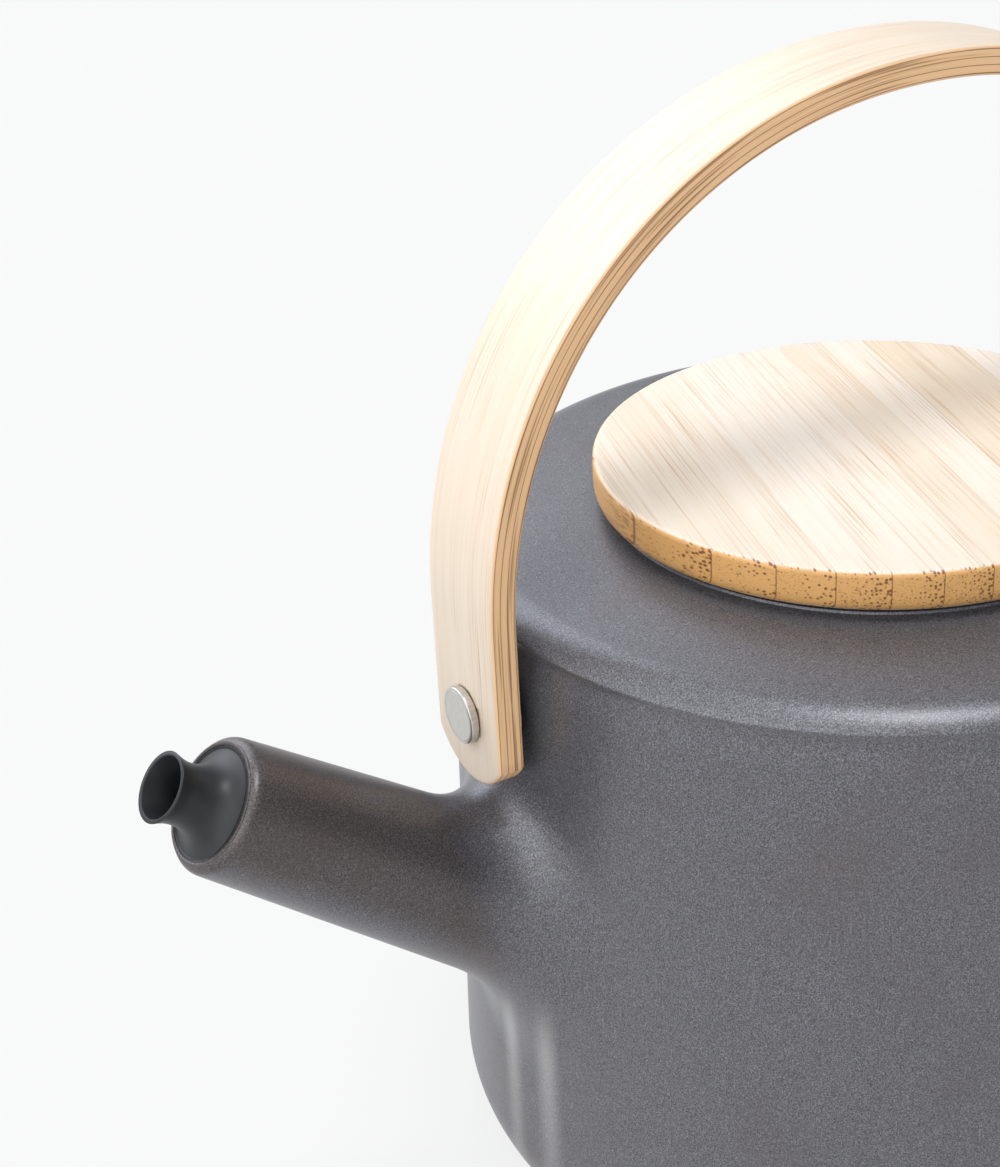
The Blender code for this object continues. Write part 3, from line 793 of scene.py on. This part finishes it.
@dataclass
class Pot:
    """Drum body, shoulder, mouth and spout as one closed wall, all sizes in millimetres."""

    ridge_radius: float = 71.5
    ridge_z: float = 118.8
    ridge_round: float = 0.6
    roll: float = 9.0
    recess: float = 0.5
    flare: float = 3.3
    foot_round: float = 16.0
    wall_thick: float = 4.2
    floor: float = 5.5
    neck_radius: float = 44.5
    neck_foot_z: float = 123.1
    neck_z: float = 123.6
    inner_top: float = 115.0
    seat_radius: float = 43.6
    seat_z: float = 120.2
    mouth_radius: float = 38.5
    columns: int = 240
    row_pitch: float = 1.5
    fine_z: float = 109.0
    fine_pitch: float = 0.6
    roll_from_deg: float = 42.0
    roll_to_deg: float = 85.0
    recess_height: float = 6.0
    inner_round: float = 4.5
    blend: float = 13.0
    inner_blend: float = 2.0
    opening_columns: int = 20
    outer_opening: tuple[float, float] = (30.0, 106.0)
    inner_opening: tuple[float, float] = (22.0, 98.5)

    def wall_radius(self, z: Array) -> Array:
        """Outer radius at height z: the ridge radius plus a share of the flare."""
        return self.ridge_radius + self.flare * (self.ridge_z - z) / self.ridge_z

    def profile(self) -> tuple[Array, tuple[int, int], tuple[int, int]]:
        """Section from the base centre up the outside, over the mouth and down the inside.

        Returns:
            The points, and the first and last rows of the outer and inner openings for the spout.
        """
        foot_r = float(self.wall_radius(self.foot_round)) - self.foot_round
        under_ridge = self.ridge_z - 1.7
        wall_z = np.concatenate([np.arange(self.foot_round + 1.5, self.fine_z, self.row_pitch),
                                 np.arange(self.fine_z, under_ridge, self.fine_pitch)])
        share = np.clip((wall_z - under_ridge + self.recess_height) / self.recess_height, 0.0, 1.0)
        dip = self.recess * share ** 2 * (3.0 - 2.0 * share)
        wall = np.stack([self.wall_radius(wall_z) - dip, wall_z], axis=-1)
        under = self.inner_top
        inner_r = float(self.wall_radius(under)) - self.wall_thick
        round_in = self.foot_round - self.wall_thick
        inner_z = np.arange(self.floor + round_in + 1.0, under - self.inner_round, self.row_pitch)[::-1]
        inner = np.stack([self.wall_radius(inner_z) - self.wall_thick, inner_z], axis=-1)
        lip_c = (self.ridge_radius - self.ridge_round, self.ridge_z - 0.7)
        start = math.radians(self.roll_from_deg)
        roll_c = (lip_c[0] - (self.roll - self.ridge_round) * math.cos(start),
                  lip_c[1] - (self.roll - self.ridge_round) * math.sin(start))
        roll = arc(roll_c, self.roll, self.roll_from_deg, self.roll_to_deg, 16)
        outside = joined([
            line((0.0, 0.0), (foot_r, 0.0), 9.0),
            arc((foot_r, self.foot_round), self.foot_round, -90, 0, 18), wall,
            arc(lip_c, self.ridge_round, -35, self.roll_from_deg, 7), roll,
            line(roll[-1], (self.neck_radius + 1.4, self.neck_foot_z - 0.1), 1.5)])
        lip = rounded_profile([
            (self.neck_radius + 1.4, self.neck_foot_z - 0.1, 0), (self.neck_radius, self.neck_foot_z, 0.3),
            (self.neck_radius, self.neck_z, 0.2), (self.seat_radius, self.neck_z, 0.3),
            (self.seat_radius, self.seat_z, 0.4), (self.mouth_radius, self.seat_z, 0.5),
            (self.mouth_radius, self.seat_z - 1.8, 0.5), (self.mouth_radius + 2.0, under, 1.2),
            (inner_r - 6.0, under, 0)], False, 3)
        inside = joined([
            arc((inner_r - self.inner_round, under - self.inner_round), self.inner_round, 90, 0, 6), inner,
            arc((foot_r, self.floor + round_in), round_in, 0, -90, 12),
            line((foot_r, self.floor), (0.0, self.floor), 9.0)])
        points = joined([outside, lip, inside])
        outer_rows = self.rows_between(points, self.outer_opening, True)
        first = self.rows_between(points, self.inner_opening, False)[0]
        return points, outer_rows, (first, first + outer_rows[1] - outer_rows[0])

    def rows_between(self, points: Array, heights: tuple[float, float], outer: bool) -> tuple[int, int]:
        """First and last profile rows whose height lies between two values, outside or inside."""
        radius, z = points.T
        limit = self.wall_radius(z) - 0.5 * self.wall_thick
        side = radius > limit if outer else radius <= limit
        on_wall = radius > limit - self.wall_thick
        rows = np.nonzero(side & on_wall & (z > heights[0]) & (z < heights[1]))[0]
        return int(rows[0]), int(rows[-1])

    @staticmethod
    def border(grid: Array, rows: tuple[int, int], columns: tuple[int, int]) -> Array:
        """Loop of points round an opening of a grid, in order."""
        r0, r1 = rows
        c0, c1 = columns
        return np.concatenate([grid[r0, c0:c1], grid[r0:r1, c1], grid[r1, c1:c0:-1], grid[r1:r0:-1, c0]])

    def build(self, spout: Spout, material: Material) -> Piece:
        """Make the pot with its spout.

        Args:
            spout: the spout's axis and sizes.
            material: enamel.

        Returns:
            The finished piece.
        """
        profile, outer_rows, inner_rows = self.profile()
        grid = turn_profile(profile, self.columns)
        middle = self.columns // 2
        columns = (middle - self.opening_columns, middle + self.opening_columns)
        keep = np.ones((len(profile) - 1, self.columns), dtype=bool)
        for rows in (outer_rows, inner_rows):
            keep[rows[0]:rows[1], columns[0]:columns[1]] = False
        surface = Surface("pot_shell")
        surface.add_grid(grid, True, keep)
        outer = TubeBlend(spout, self.wall_radius, spout.outside, self.blend)
        outer_lines, even = outer.lines(self.border(grid, outer_rows, columns),
                                        spout.length - spout.lip_round, (14, 34))
        inner = TubeBlend(spout, lambda z: self.wall_radius(z) - self.wall_thick, spout.bore,
                          self.inner_blend)
        inner_lines, _ = inner.lines(self.border(grid, inner_rows, columns), spout.bore_end, (8, 14))
        self.join_end(surface, spout, outer_lines, inner_lines, even)
        return surface.build(material)

    @staticmethod
    def join_end(surface: Surface, spout: Spout, outer: Array, inner: Array, even: Array) -> None:
        """Close the spout's end with its rounded lip, the tip's seat and the bore.

        Args:
            surface: surface that gets the grids.
            spout: the spout's axis and sizes.
            outer: lines from the drum's opening to the lip.
            inner: lines from the inner opening to the end of the bore.
            even: angles of the outer lines at the lip.
        """
        lip_centre = spout.end_radius + 0.03 * spout.lip_round - spout.lip_round
        seat_s = spout.length - spout.seat_depth
        section = joined([
            arc((lip_centre, spout.length - spout.lip_round), spout.lip_round, 0, 78, 7),
            rounded_profile([
                (lip_centre, spout.length, 0), (spout.seat_radius, spout.length, 0.15),
                (spout.seat_radius, seat_s, 0.2), (spout.bore_radius, seat_s, 0.3),
                (spout.bore_radius, spout.bore_end, 0)], False, 2)])[1:]
        turn = np.sign(even[1] - even[0])
        s = np.repeat(section[:, 1:], len(even), axis=1)
        radius = np.repeat(section[:, :1], len(even), axis=1)
        rings = spout.ring_points(s, radius, np.broadcast_to(even, s.shape))
        surface.add_grid(np.concatenate([outer, rings]), True)
        inner_angle = np.unwrap(spout.angle(inner[-1]))
        if np.sign(inner_angle[1] - inner_angle[0]) != turn:
            inner = inner[:, ::-1]
        nearest = np.argmin(np.linalg.norm(inner[-1] - rings[-1, 0], axis=-1))
        inner = np.roll(inner, -nearest, axis=1)
        surface.add_grid(np.concatenate([rings[-1:], inner[-2::-1]]), True)


# ==========================================================================
# handle
# ==========================================================================
@dataclass
class Bail:
    """Bent strip handle: straight legs with round feet and an arch, all sizes in millimetres."""

    span: float = 78.95
    width: float = 20.0
    thick: float = 4.6
    spring_z: float = 122.0
    top_z: float = 198.9
    foot_z: float = 93.7
    power: float = 2.1
    foot_radius: float = 12.0
    ease: float = 0.5
    pivot_z: float = 105.6
    eye_radius: float = 3.9
    foot_turn_deg: float = 56.4
    pitch: float = 1.8

    def side_curve(self, inset: float) -> Array:
        """One edge of the strip in the upright plane: leg, superellipse arch, leg."""
        angle = np.linspace(0.0, np.pi, 361)
        c, s = np.cos(angle), np.sin(angle)
        share = 2.0 / self.power
        x = np.sign(c) * np.abs(c) ** share * (self.span - inset)
        z = self.spring_z + np.abs(s) ** share * (self.top_z - self.spring_z - inset)
        leg = np.linspace(self.foot_z, self.spring_z, 40, endpoint=False)
        right = np.stack([np.full(40, self.span - inset), leg], axis=-1)
        left = np.stack([np.full(40, inset - self.span), leg[::-1]], axis=-1)
        return np.concatenate([right, np.stack([x, z], axis=-1), left])

    def section(self) -> tuple[Array, Array, Array]:
        """Rounded rectangle round the strip: inset from the outline, place across and through, -1 to 1."""
        ease, half = self.ease, self.thick / 2
        turn = np.radians(np.linspace(90, 0, 6))
        inset = ease * (1 - np.cos(turn))
        depth = (half - ease + ease * np.sin(turn)) / half
        face = np.linspace(-1, 1, 13)[1:-1]
        side = np.linspace(1, -1, 7)[1:-1] * (half - ease) / half
        one = np.ones
        insets = np.concatenate([one(11) * ease, inset, one(5) * 0, inset[::-1]])
        across = np.concatenate([face, one(6), one(5), one(6)])
        depths = np.concatenate([one(11), depth, side, -depth[::-1]])
        return (np.concatenate([insets, insets]), np.concatenate([across, -across]),
                np.concatenate([depths, -depths]))

    def build(self, material: Material) -> Piece:
        """Make the strip.

        A point sits at a length along the strip, across it and through it. Near a foot the half
        width follows a circle: the root of (R - inset) squared less (R - length) squared.
        """
        outer, inner = self.side_curve(0.0), self.side_curve(self.thick)
        centre = 0.5 * (outer + inner)
        length = np.concatenate([[0.0], np.cumsum(np.linalg.norm(np.diff(centre, axis=0), axis=1))])
        total = float(length[-1])
        bend = np.radians(np.linspace(0, self.foot_turn_deg, 15))
        near = self.foot_radius * (1 - np.cos(bend))
        middle = np.arange(near[-1] + 1.2, total - near[-1] - 1.2, self.pitch)
        stations = np.concatenate([near, middle, (total - near)[::-1]])[:, None]
        inset, across, depth = self.section()
        place = inset + stations * (total - 2 * inset) / total
        from_end = np.minimum(place, total - place)
        circle = (self.foot_radius - inset) ** 2 - np.clip(self.foot_radius - from_end, 0, None) ** 2
        half = np.minimum(np.sqrt(np.clip(circle, 0, None)), self.width / 2 - inset)
        y = across * half
        mid = np.stack([np.interp(place, length, centre[:, k]) for k in (0, 1)], axis=-1)
        rim = np.stack([np.interp(place, length, outer[:, k]) for k in (0, 1)], axis=-1)
        spot = mid + (rim - mid) * np.broadcast_to(depth, place.shape)[..., None]
        points = np.stack([spot[..., 0], y, spot[..., 1]], axis=-1)
        through = np.broadcast_to(depth * self.thick / 2, place.shape)
        grain = np.stack([y, place, through], axis=-1) * MM
        side = np.broadcast_to(np.clip(1.0 - inset / self.ease, 0, 1), place.shape)[..., None]
        surface = Surface("bail_strip")
        surface.add_grid(points, True, None, grain=grain, side=side)
        piece = surface.build(material)
        self.drill(piece)
        return piece

    def drill(self, piece: Piece) -> None:
        """Cut the eye for the sleeve through each foot."""
        work = bmesh.new()
        bmesh.ops.create_cone(work, cap_ends=True, segments=48, radius1=self.eye_radius * MM,
                              radius2=self.eye_radius * MM, depth=2 * (self.span + 6) * MM)
        points = np.array([v.co[:] for v in work.verts])
        moved = np.stack([points[:, 2], points[:, 1], self.pivot_z * MM - points[:, 0]], axis=-1)
        for vert, spot in zip(work.verts, moved):
            vert.co = spot
        bmesh.ops.recalc_face_normals(work, faces=work.faces)
        mesh = bpy.data.meshes.new("eye_cutter")
        work.to_mesh(mesh)
        work.free()
        cutter = bpy.data.objects.new("eye_cutter", mesh)
        bpy.context.scene.collection.objects.link(cutter)
        modifier = piece.modifiers.new("eyes", "BOOLEAN")
        modifier.operation = "DIFFERENCE"
        modifier.solver = "EXACT"
        modifier.object = cutter
        graph = bpy.context.evaluated_depsgraph_get()
        cut = bpy.data.meshes.new_from_object(piece.evaluated_get(graph))
        piece.modifiers.clear()
        piece.data = cut
        bpy.data.objects.remove(cutter, do_unlink=True)


# ==========================================================================
# turned pieces
# ==========================================================================
def x_matrix(side: int, z: float) -> Pair:
    """Turn and origin that put a shape turned about Z onto a line along X, outwards to one side."""
    turn = np.array([[0.0, 0.0, side], [0.0, 1.0, 0.0], [-side, 0.0, 0.0]])
    return turn, np.array([0.0, 0.0, z])


def turned_piece(name: str, corners: Corners, closed: bool, steps: int,
                 material: Material, matrix: Optional[Pair] = None,
                 count: int = 5) -> Piece:
    """Make a turned piece from a rounded profile.

    Args:
        name: piece name.
        corners: (radius, height, rounding) in millimetres.
        closed: True for a ring, False for a solid that meets the axis.
        steps: columns round the axis.
        material: finish.
        matrix: optional turn and origin.
        count: steps per rounding.

    Returns:
        The finished piece.
    """
    grid = turn_profile(rounded_profile(corners, closed, count), steps)
    if matrix is not None:
        grid = carry(grid, matrix)
    surface = Surface(name)
    surface.add_grid(grid, True)
    return surface.build(material)


@dataclass
class PouringTip:
    """Rubber tip: flange with a raised rim, concave spigot, thin flared mouth, sleeve down the bore."""

    face: float = 69.7
    length: float = 9.2
    flange: float = 9.5

    def spigot(self) -> list[tuple[float, float, float]]:
        """Outside of the spigot, from the thin mouth through the waist out to the flange."""
        share = np.array([0.0, 0.03, 0.1, 0.2, 0.32, 0.45, 0.58, 0.7, 0.8, 0.88, 0.94, 0.98, 1.0])
        radius = np.interp(share, [0.0, 0.1, 0.2, 0.32, 0.45, 0.58, 0.7, 0.8, 0.88, 0.94, 0.98, 1.0],
                           [5.62, 5.3, 5.02, 4.86, 4.86, 5.05, 5.42, 5.95, 6.6, 7.35, 8.1, 8.5])
        along = self.face + 0.05 + (self.length - 0.05) * (1.0 - share)
        return [(float(r), float(s), 0.0) for r, s in zip(radius, along)]

    def corners(self) -> list[tuple[float, float, float]]:
        """Closed section as (radius, distance along the spout, rounding)."""
        s, end = self.face, self.face + self.length
        return [
            (4.95, end, 0.12),
            *self.spigot(), (8.62, s + 0.02, 0.05), (8.78, s + 0.2, 0.07), (9.2, s + 0.18, 0.1),
            (self.flange, s - 0.1, 0.12), (self.flange, s - 1.1, 0.1),
            (6.9, s - 1.15, 0.2), (6.9, s - 12.0, 0.3), (5.7, s - 12.0, 0.3), (5.7, s - 1.0, 1.0),
            (4.0, s + 2.8, 1.0), (4.0, end - 3.4, 1.0)]

    def build(self, spout: Spout, material: Material) -> Piece:
        """Make the tip on the spout's axis."""
        return turned_piece("pouring_tip", self.corners(), True, 96, material, spout.matrix(), 4)


@dataclass
class Fixing:
    """Screw that holds a foot of the handle, all sizes in millimetres along the pivot."""

    side: int
    word: str
    face: float = 79.2
    head_radius: float = 4.7
    head_height: float = 1.4
    shank_radius: float = 2.4
    shank_end: float = 58.62
    z: float = 105.6

    def build(self, material: Material) -> Piece:
        """Make the screw: a flat head with a thin turned rim, and its shank."""
        top = self.face + self.head_height
        corners = [
            (0.0, top - 0.1, 0), (self.head_radius - 0.75, top - 0.06, 0.25),
            (self.head_radius - 0.5, top, 0.12), (self.head_radius, top - 0.12, 0.2),
            (self.head_radius, self.face, 0.1), (self.shank_radius, self.face, 0.1),
            (self.shank_radius, self.shank_end, 0.3), (0.0, self.shank_end, 0)]
        return turned_piece("screw_" + self.word, corners, False, 64, material,
                            x_matrix(self.side, self.z), 4)


@dataclass
class Lid:
    """Bamboo lid board, its plug and its seal, all sizes in millimetres."""

    radius: float = 46.9
    low: float = 124.2
    top: float = 131.4
    gap: float = 0.25
    plug_radius: float = 33.0
    plug_height: float = 10.0
    ribs: int = 3

    def board(self, material: Material) -> Piece:
        """Flat board with an eased top edge and a rounded under-edge."""
        corners = [
            (0.0, self.top, 0), (20.0, self.top, 0), (40.0, self.top, 0), (self.radius, self.top, 1.0),
            (self.radius, self.low, 3.0), (40.0, self.low, 0), (20.0, self.low, 0), (0.0, self.low, 0)]
        return turned_piece("lid_board", corners, False, 220, material, None, 8)

    def plug(self, material: Material) -> Piece:
        """Plug under the board."""
        high = self.low - self.gap
        low = high - self.plug_height
        corners = [(0.0, high, 0), (self.plug_radius, high, 0.5),
                   (self.plug_radius, low, 1.6), (0.0, low, 0)]
        return turned_piece("lid_plug_board", corners, False, 128, material)

    def seal(self, material: Material) -> Piece:
        """Ribbed silicone ring round the plug."""
        bore, root, crest, flange = self.plug_radius + 0.3, 34.5, 35.2, 41.5
        high, low = self.low - self.gap, self.low - 9.2
        corners = [(bore, high, 0.1), (flange, high, 0.3), (flange, high - 1.9, 0.3),
                   (crest, high - 1.95, 0.3)]
        for rib in range(self.ribs):
            z = high - 3.35 - 1.9 * rib
            corners += [(root, z, 0.3), (crest, z - 0.7, 0.3)]
        corners += [(root, low, 0.3), (bore, low, 0.1)]
        return turned_piece("lid_gasket", corners, True, 120, material, None, 3)


@dataclass
class Infuser:
    """Flanged rim, pierced wall and pierced floor, all sizes in millimetres."""

    outer: float = 36.6
    inner: float = 35.8
    top: float = 120.2
    low: float = 50.2
    flange_radius: float = 43.0
    flange_thick: float = 1.2
    collar_height: float = 9.7
    wall_holes: int = 96
    wall_pitch: float = 2.3
    wall_solid: float = 0.42
    floor_holes: int = 60
    floor_pitch: float = 2.4
    floor_solid: float = 0.5

    def rim(self, material: Material) -> Piece:
        """Spun rim with its collar."""
        bore, collar, low = self.outer + 0.3, self.outer + 1.3, self.top + 0.3
        high = low + self.flange_thick
        corners = [
            (bore, high, 0.4), (self.flange_radius, high, 0.45), (self.flange_radius, low, 0.4),
            (collar, low, 0.5), (collar, self.top - self.collar_height, 0.3),
            (bore, self.top - self.collar_height, 0.3)]
        return turned_piece("infuser_collar", corners, True, 128, material, None, 4)

    @staticmethod
    def bands(starts: Array, width: float) -> Array:
        """Edges of bands: the start of each and a second edge one width further on."""
        return np.stack([starts, starts + width], axis=-1).ravel()

    def pierced(self, name: str, levels: Array, holes: int, share: float, thick: float,
                spot: Callable[[Array], Pair],
                material: Material) -> Piece:
        """Make a sheet round the axis with rows of holes.

        Args:
            name: piece name.
            levels: edges of the rows of holes, with the sheet's two ends.
            holes: holes in a row.
            share: solid share of each step round the axis.
            thick: thickness of the sheet.
            spot: gives radius and height of each level.
            material: finish.

        Returns:
            The finished piece.
        """
        angle = self.bands(np.arange(holes), share) * 2 * np.pi / holes
        level, turn = np.meshgrid(levels, angle, indexing="ij")
        radius, height = spot(level)
        points = np.stack([radius * np.cos(turn), radius * np.sin(turn), height], axis=-1)
        keep = np.ones((len(levels) - 1, len(angle)), dtype=bool)
        keep[2:-1:2, 1::2] = False
        surface = Surface(name)
        surface.add_grid(points, True, keep)
        piece = surface.build(material, outward=False)
        self.thicken(piece, thick)
        return piece

    def wall(self, material: Material) -> Piece:
        """Sheet rolled to a tube, pierced with square holes between plain bands."""
        rows = np.arange(self.low + 5.0, self.top - 12.6, self.wall_pitch)
        levels = np.concatenate([[self.low], self.bands(rows, self.wall_solid * self.wall_pitch),
                                 [self.top]])
        return self.pierced("infuser_mesh", levels, self.wall_holes, self.wall_solid,
                            self.outer - self.inner, lambda z: (np.full(z.shape, self.outer), z), material)

    def floor(self, material: Material) -> Piece:
        """Pierced disc in the foot of the wall, with holes in rings."""
        thick = self.outer - self.inner
        rows = np.arange(11.0, 33.0, self.floor_pitch)
        levels = np.concatenate([[0.0], self.bands(rows, self.floor_solid * self.floor_pitch),
                                 [self.inner - 0.3]])
        return self.pierced("infuser_base", levels, self.floor_holes, self.floor_solid, thick,
                            lambda r: (r, np.full(r.shape, self.low + thick)), material)

    @staticmethod
    def thicken(piece: Piece, thick: float) -> None:
        """Give a sheet its thickness, inwards from its outer face."""
        solid = piece.modifiers.new("sheet", "SOLIDIFY")
        solid.thickness = thick * MM
        solid.offset = -1.0


# ==========================================================================
# studio
# ==========================================================================
@dataclass
class Studio:
    """Pale floor, a broad overhead light, soft surroundings and the camera.

    The surroundings brighten towards sky_heading. Each glow is its heading, where it starts and is
    full as a cosine, and the light that it adds.
    """

    floor_colour: str = "5c5c5c"
    floor_glow: float = 0.775
    floor_half: float = 9.0
    floor_level_mm: float = -0.05
    sky_power: float = 1.02
    sky_heading: tuple[float, float, float] = (-0.80, 0.52, 0.30)
    sky_stops: tuple[tuple[float, float], ...] = ((0.12, 0.3), (0.5, 0.52), (0.85, 1.0))
    glows: tuple[tuple[tuple[float, ...], float, float, tuple[float, ...]], ...] = (
        ((-0.12, 0.77, 0.62), 0.8, 0.98, (2.2, 2.35, 2.6, 1.0)),
        ((-0.80, -0.42, 0.42), 0.55, 0.95, (1.25, 1.25, 1.25, 1.0)))
    seen_grey: float = 0.765
    sun_power: float = 1.3
    sun_spread_deg: float = 16.0
    sun_lean_deg: tuple[float, float, float] = (8.0, 3.0, 0.0)
    lens_mm: float = 69.41
    eye: tuple[float, float, float] = (-0.21433, -0.27412, 0.28886)
    eye_turn_deg: tuple[float, float, float] = (62.249, 2.992, -29.073)

    def floor(self) -> None:
        """Large pale floor under the pot."""
        material, tree, shader = new_material("pale_floor")
        feed(tree, shader, {
            "Base Color": linear(self.floor_colour), "Roughness": 0.9, "Specular IOR Level": 0.0,
            "Emission Color": (1.0, 1.0, 1.0, 1.0), "Emission Strength": self.floor_glow})
        mesh = bpy.data.meshes.new("studio_floor")
        corners = [(x * self.floor_half, y * self.floor_half, self.floor_level_mm * MM)
                   for x, y in ((-1, -1), (1, -1), (1, 1), (-1, 1))]
        mesh.from_pydata(corners, [], [(0, 1, 2, 3)])
        mesh.materials.append(material)
        floor = bpy.data.objects.new("studio_floor", mesh)
        bpy.context.scene.collection.objects.link(floor)

    def world(self) -> None:
        """Soft surroundings: bright behind on the spout's side, dimmer on the near side, with the glows."""
        world = bpy.data.worlds.new("studio")
        bpy.context.scene.world = world
        world.use_nodes = True
        tree = world.node_tree
        tree.nodes.clear()
        place = coordinate(tree, "Generated")
        shade = ramp(tree, spread(tree, facing(tree, place, self.sky_heading), -1.0, 1.0), self.sky_stops)
        for heading, start, full, light in self.glows:
            share = spread(tree, facing(tree, place, heading), start, full, smooth=True)
            glow = mix_colours(tree, share, (0.0, 0.0, 0.0, 1.0), light)
            shade = mix_colours(tree, 1.0, shade, glow, "ADD")
        seen = add(tree, "ShaderNodeLightPath").outputs["Is Camera Ray"]
        colour = mix_colours(tree, seen, shade, (self.seen_grey, self.seen_grey, self.seen_grey, 1.0))
        back = add(tree, "ShaderNodeBackground", {"Color": colour, "Strength": self.sky_power})
        add(tree, "ShaderNodeOutputWorld", {"Surface": back.outputs["Background"]})

    def lights(self) -> None:
        """Overhead soft light, leaning a little to the near side."""
        data = bpy.data.lights.new("overhead_soft", "SUN")
        data.energy = self.sun_power
        data.angle = math.radians(self.sun_spread_deg)
        data.color = (0.97, 0.985, 1.0)
        light = bpy.data.objects.new("overhead_soft", data)
        light.rotation_euler = Euler([math.radians(angle) for angle in self.sun_lean_deg])
        bpy.context.scene.collection.objects.link(light)

    def camera(self) -> None:
        """Camera from the spout side, above the pot."""
        data = bpy.data.cameras.new("studio_camera")
        data.lens = self.lens_mm
        data.sensor_width = 36.0
        data.clip_start = 0.01
        camera = bpy.data.objects.new("studio_camera", data)
        camera.location = self.eye
        camera.rotation_euler = Euler([math.radians(angle) for angle in self.eye_turn_deg])
        bpy.context.scene.collection.objects.link(camera)
        bpy.context.scene.camera = camera

    def build(self) -> None:
        """Set up everything round the object."""
        self.floor()
        self.world()
        self.lights()
        self.camera()
        bpy.context.scene.view_settings.view_transform = "Standard"


# ==========================================================================
# assembly
# ==========================================================================
def dress(names: Sequence[str], material: Material) -> None:
    """Give CAD nodes that stay a finished material."""
    for name in names:
        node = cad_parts[name]
        for slot in node.material_slots:
            slot.material = material


def main() -> None:
    """Build every sub-assembly in order."""
    logging.basicConfig(level=logging.INFO, format="%(message)s")
    Studio().build()
    enamel = SpeckledEnamel().material()
    lid_bamboo = Bamboo("oiled_bamboo_board", Grain.ACROSS_LID, "ded3c6", "d5c4ae", "b58a61", "6a3d1e",
                        "d5a467", 7.61, math.radians(15.3), 0.37).material()
    strip_bamboo = Bamboo("bent_bamboo_strip", Grain.ALONG_STRIP, "d6c8b7", "cab398", "a57c55", "6d421f",
                          "e2b98c", 1.2, 0.0, 0.6).material()
    steel = BrushedSteel().material()
    rubber = SoftRubber("black_silicone", "1b1d1f", "33373a", 0.42).material()
    gasket = SoftRubber("grey_silicone", "b8b5ae", "cfccc6", 0.5).material()

    spout = Spout()
    settle(Pot().build(spout, enamel), "pot", "pot_grey", "pot_body", "spout_tube")
    settle(PouringTip().build(spout, rubber), "tip", "tip_rubber", "spout_tip")
    settle(Bail().build(strip_bamboo), "handle", "handle_bamboo", "handle_bail")
    for side, word in ((-1, "spout_side"), (1, "rear_side")):
        settle(Fixing(side, word).build(steel), "pot", "fixing_steel", "handle_screw_" + word)
    lid = Lid()
    settle(lid.board(lid_bamboo), "lid", "lid_bamboo", "lid_disc")
    settle(lid.plug(lid_bamboo), "lid", "plug_bamboo", "lid_plug")
    settle(lid.seal(gasket), "lid", "seal_silicone", "lid_seal")
    infuser = Infuser()
    settle(infuser.rim(steel), "infuser", "fixing_steel", "infuser_rim")
    settle(infuser.wall(steel), "infuser", "infuser_steel", "infuser_wall")
    settle(infuser.floor(steel), "infuser", "infuser_steel", "infuser_floor")
    for word in ("spout_side", "rear_side"):
        dress([part + word for part in ("handle_sleeve_", "handle_spacer_", "pivot_washer_", "pivot_nut_")],
              steel)
        dress(["pivot_seal_" + word], gasket)


if __name__ == "__main__":
    main()
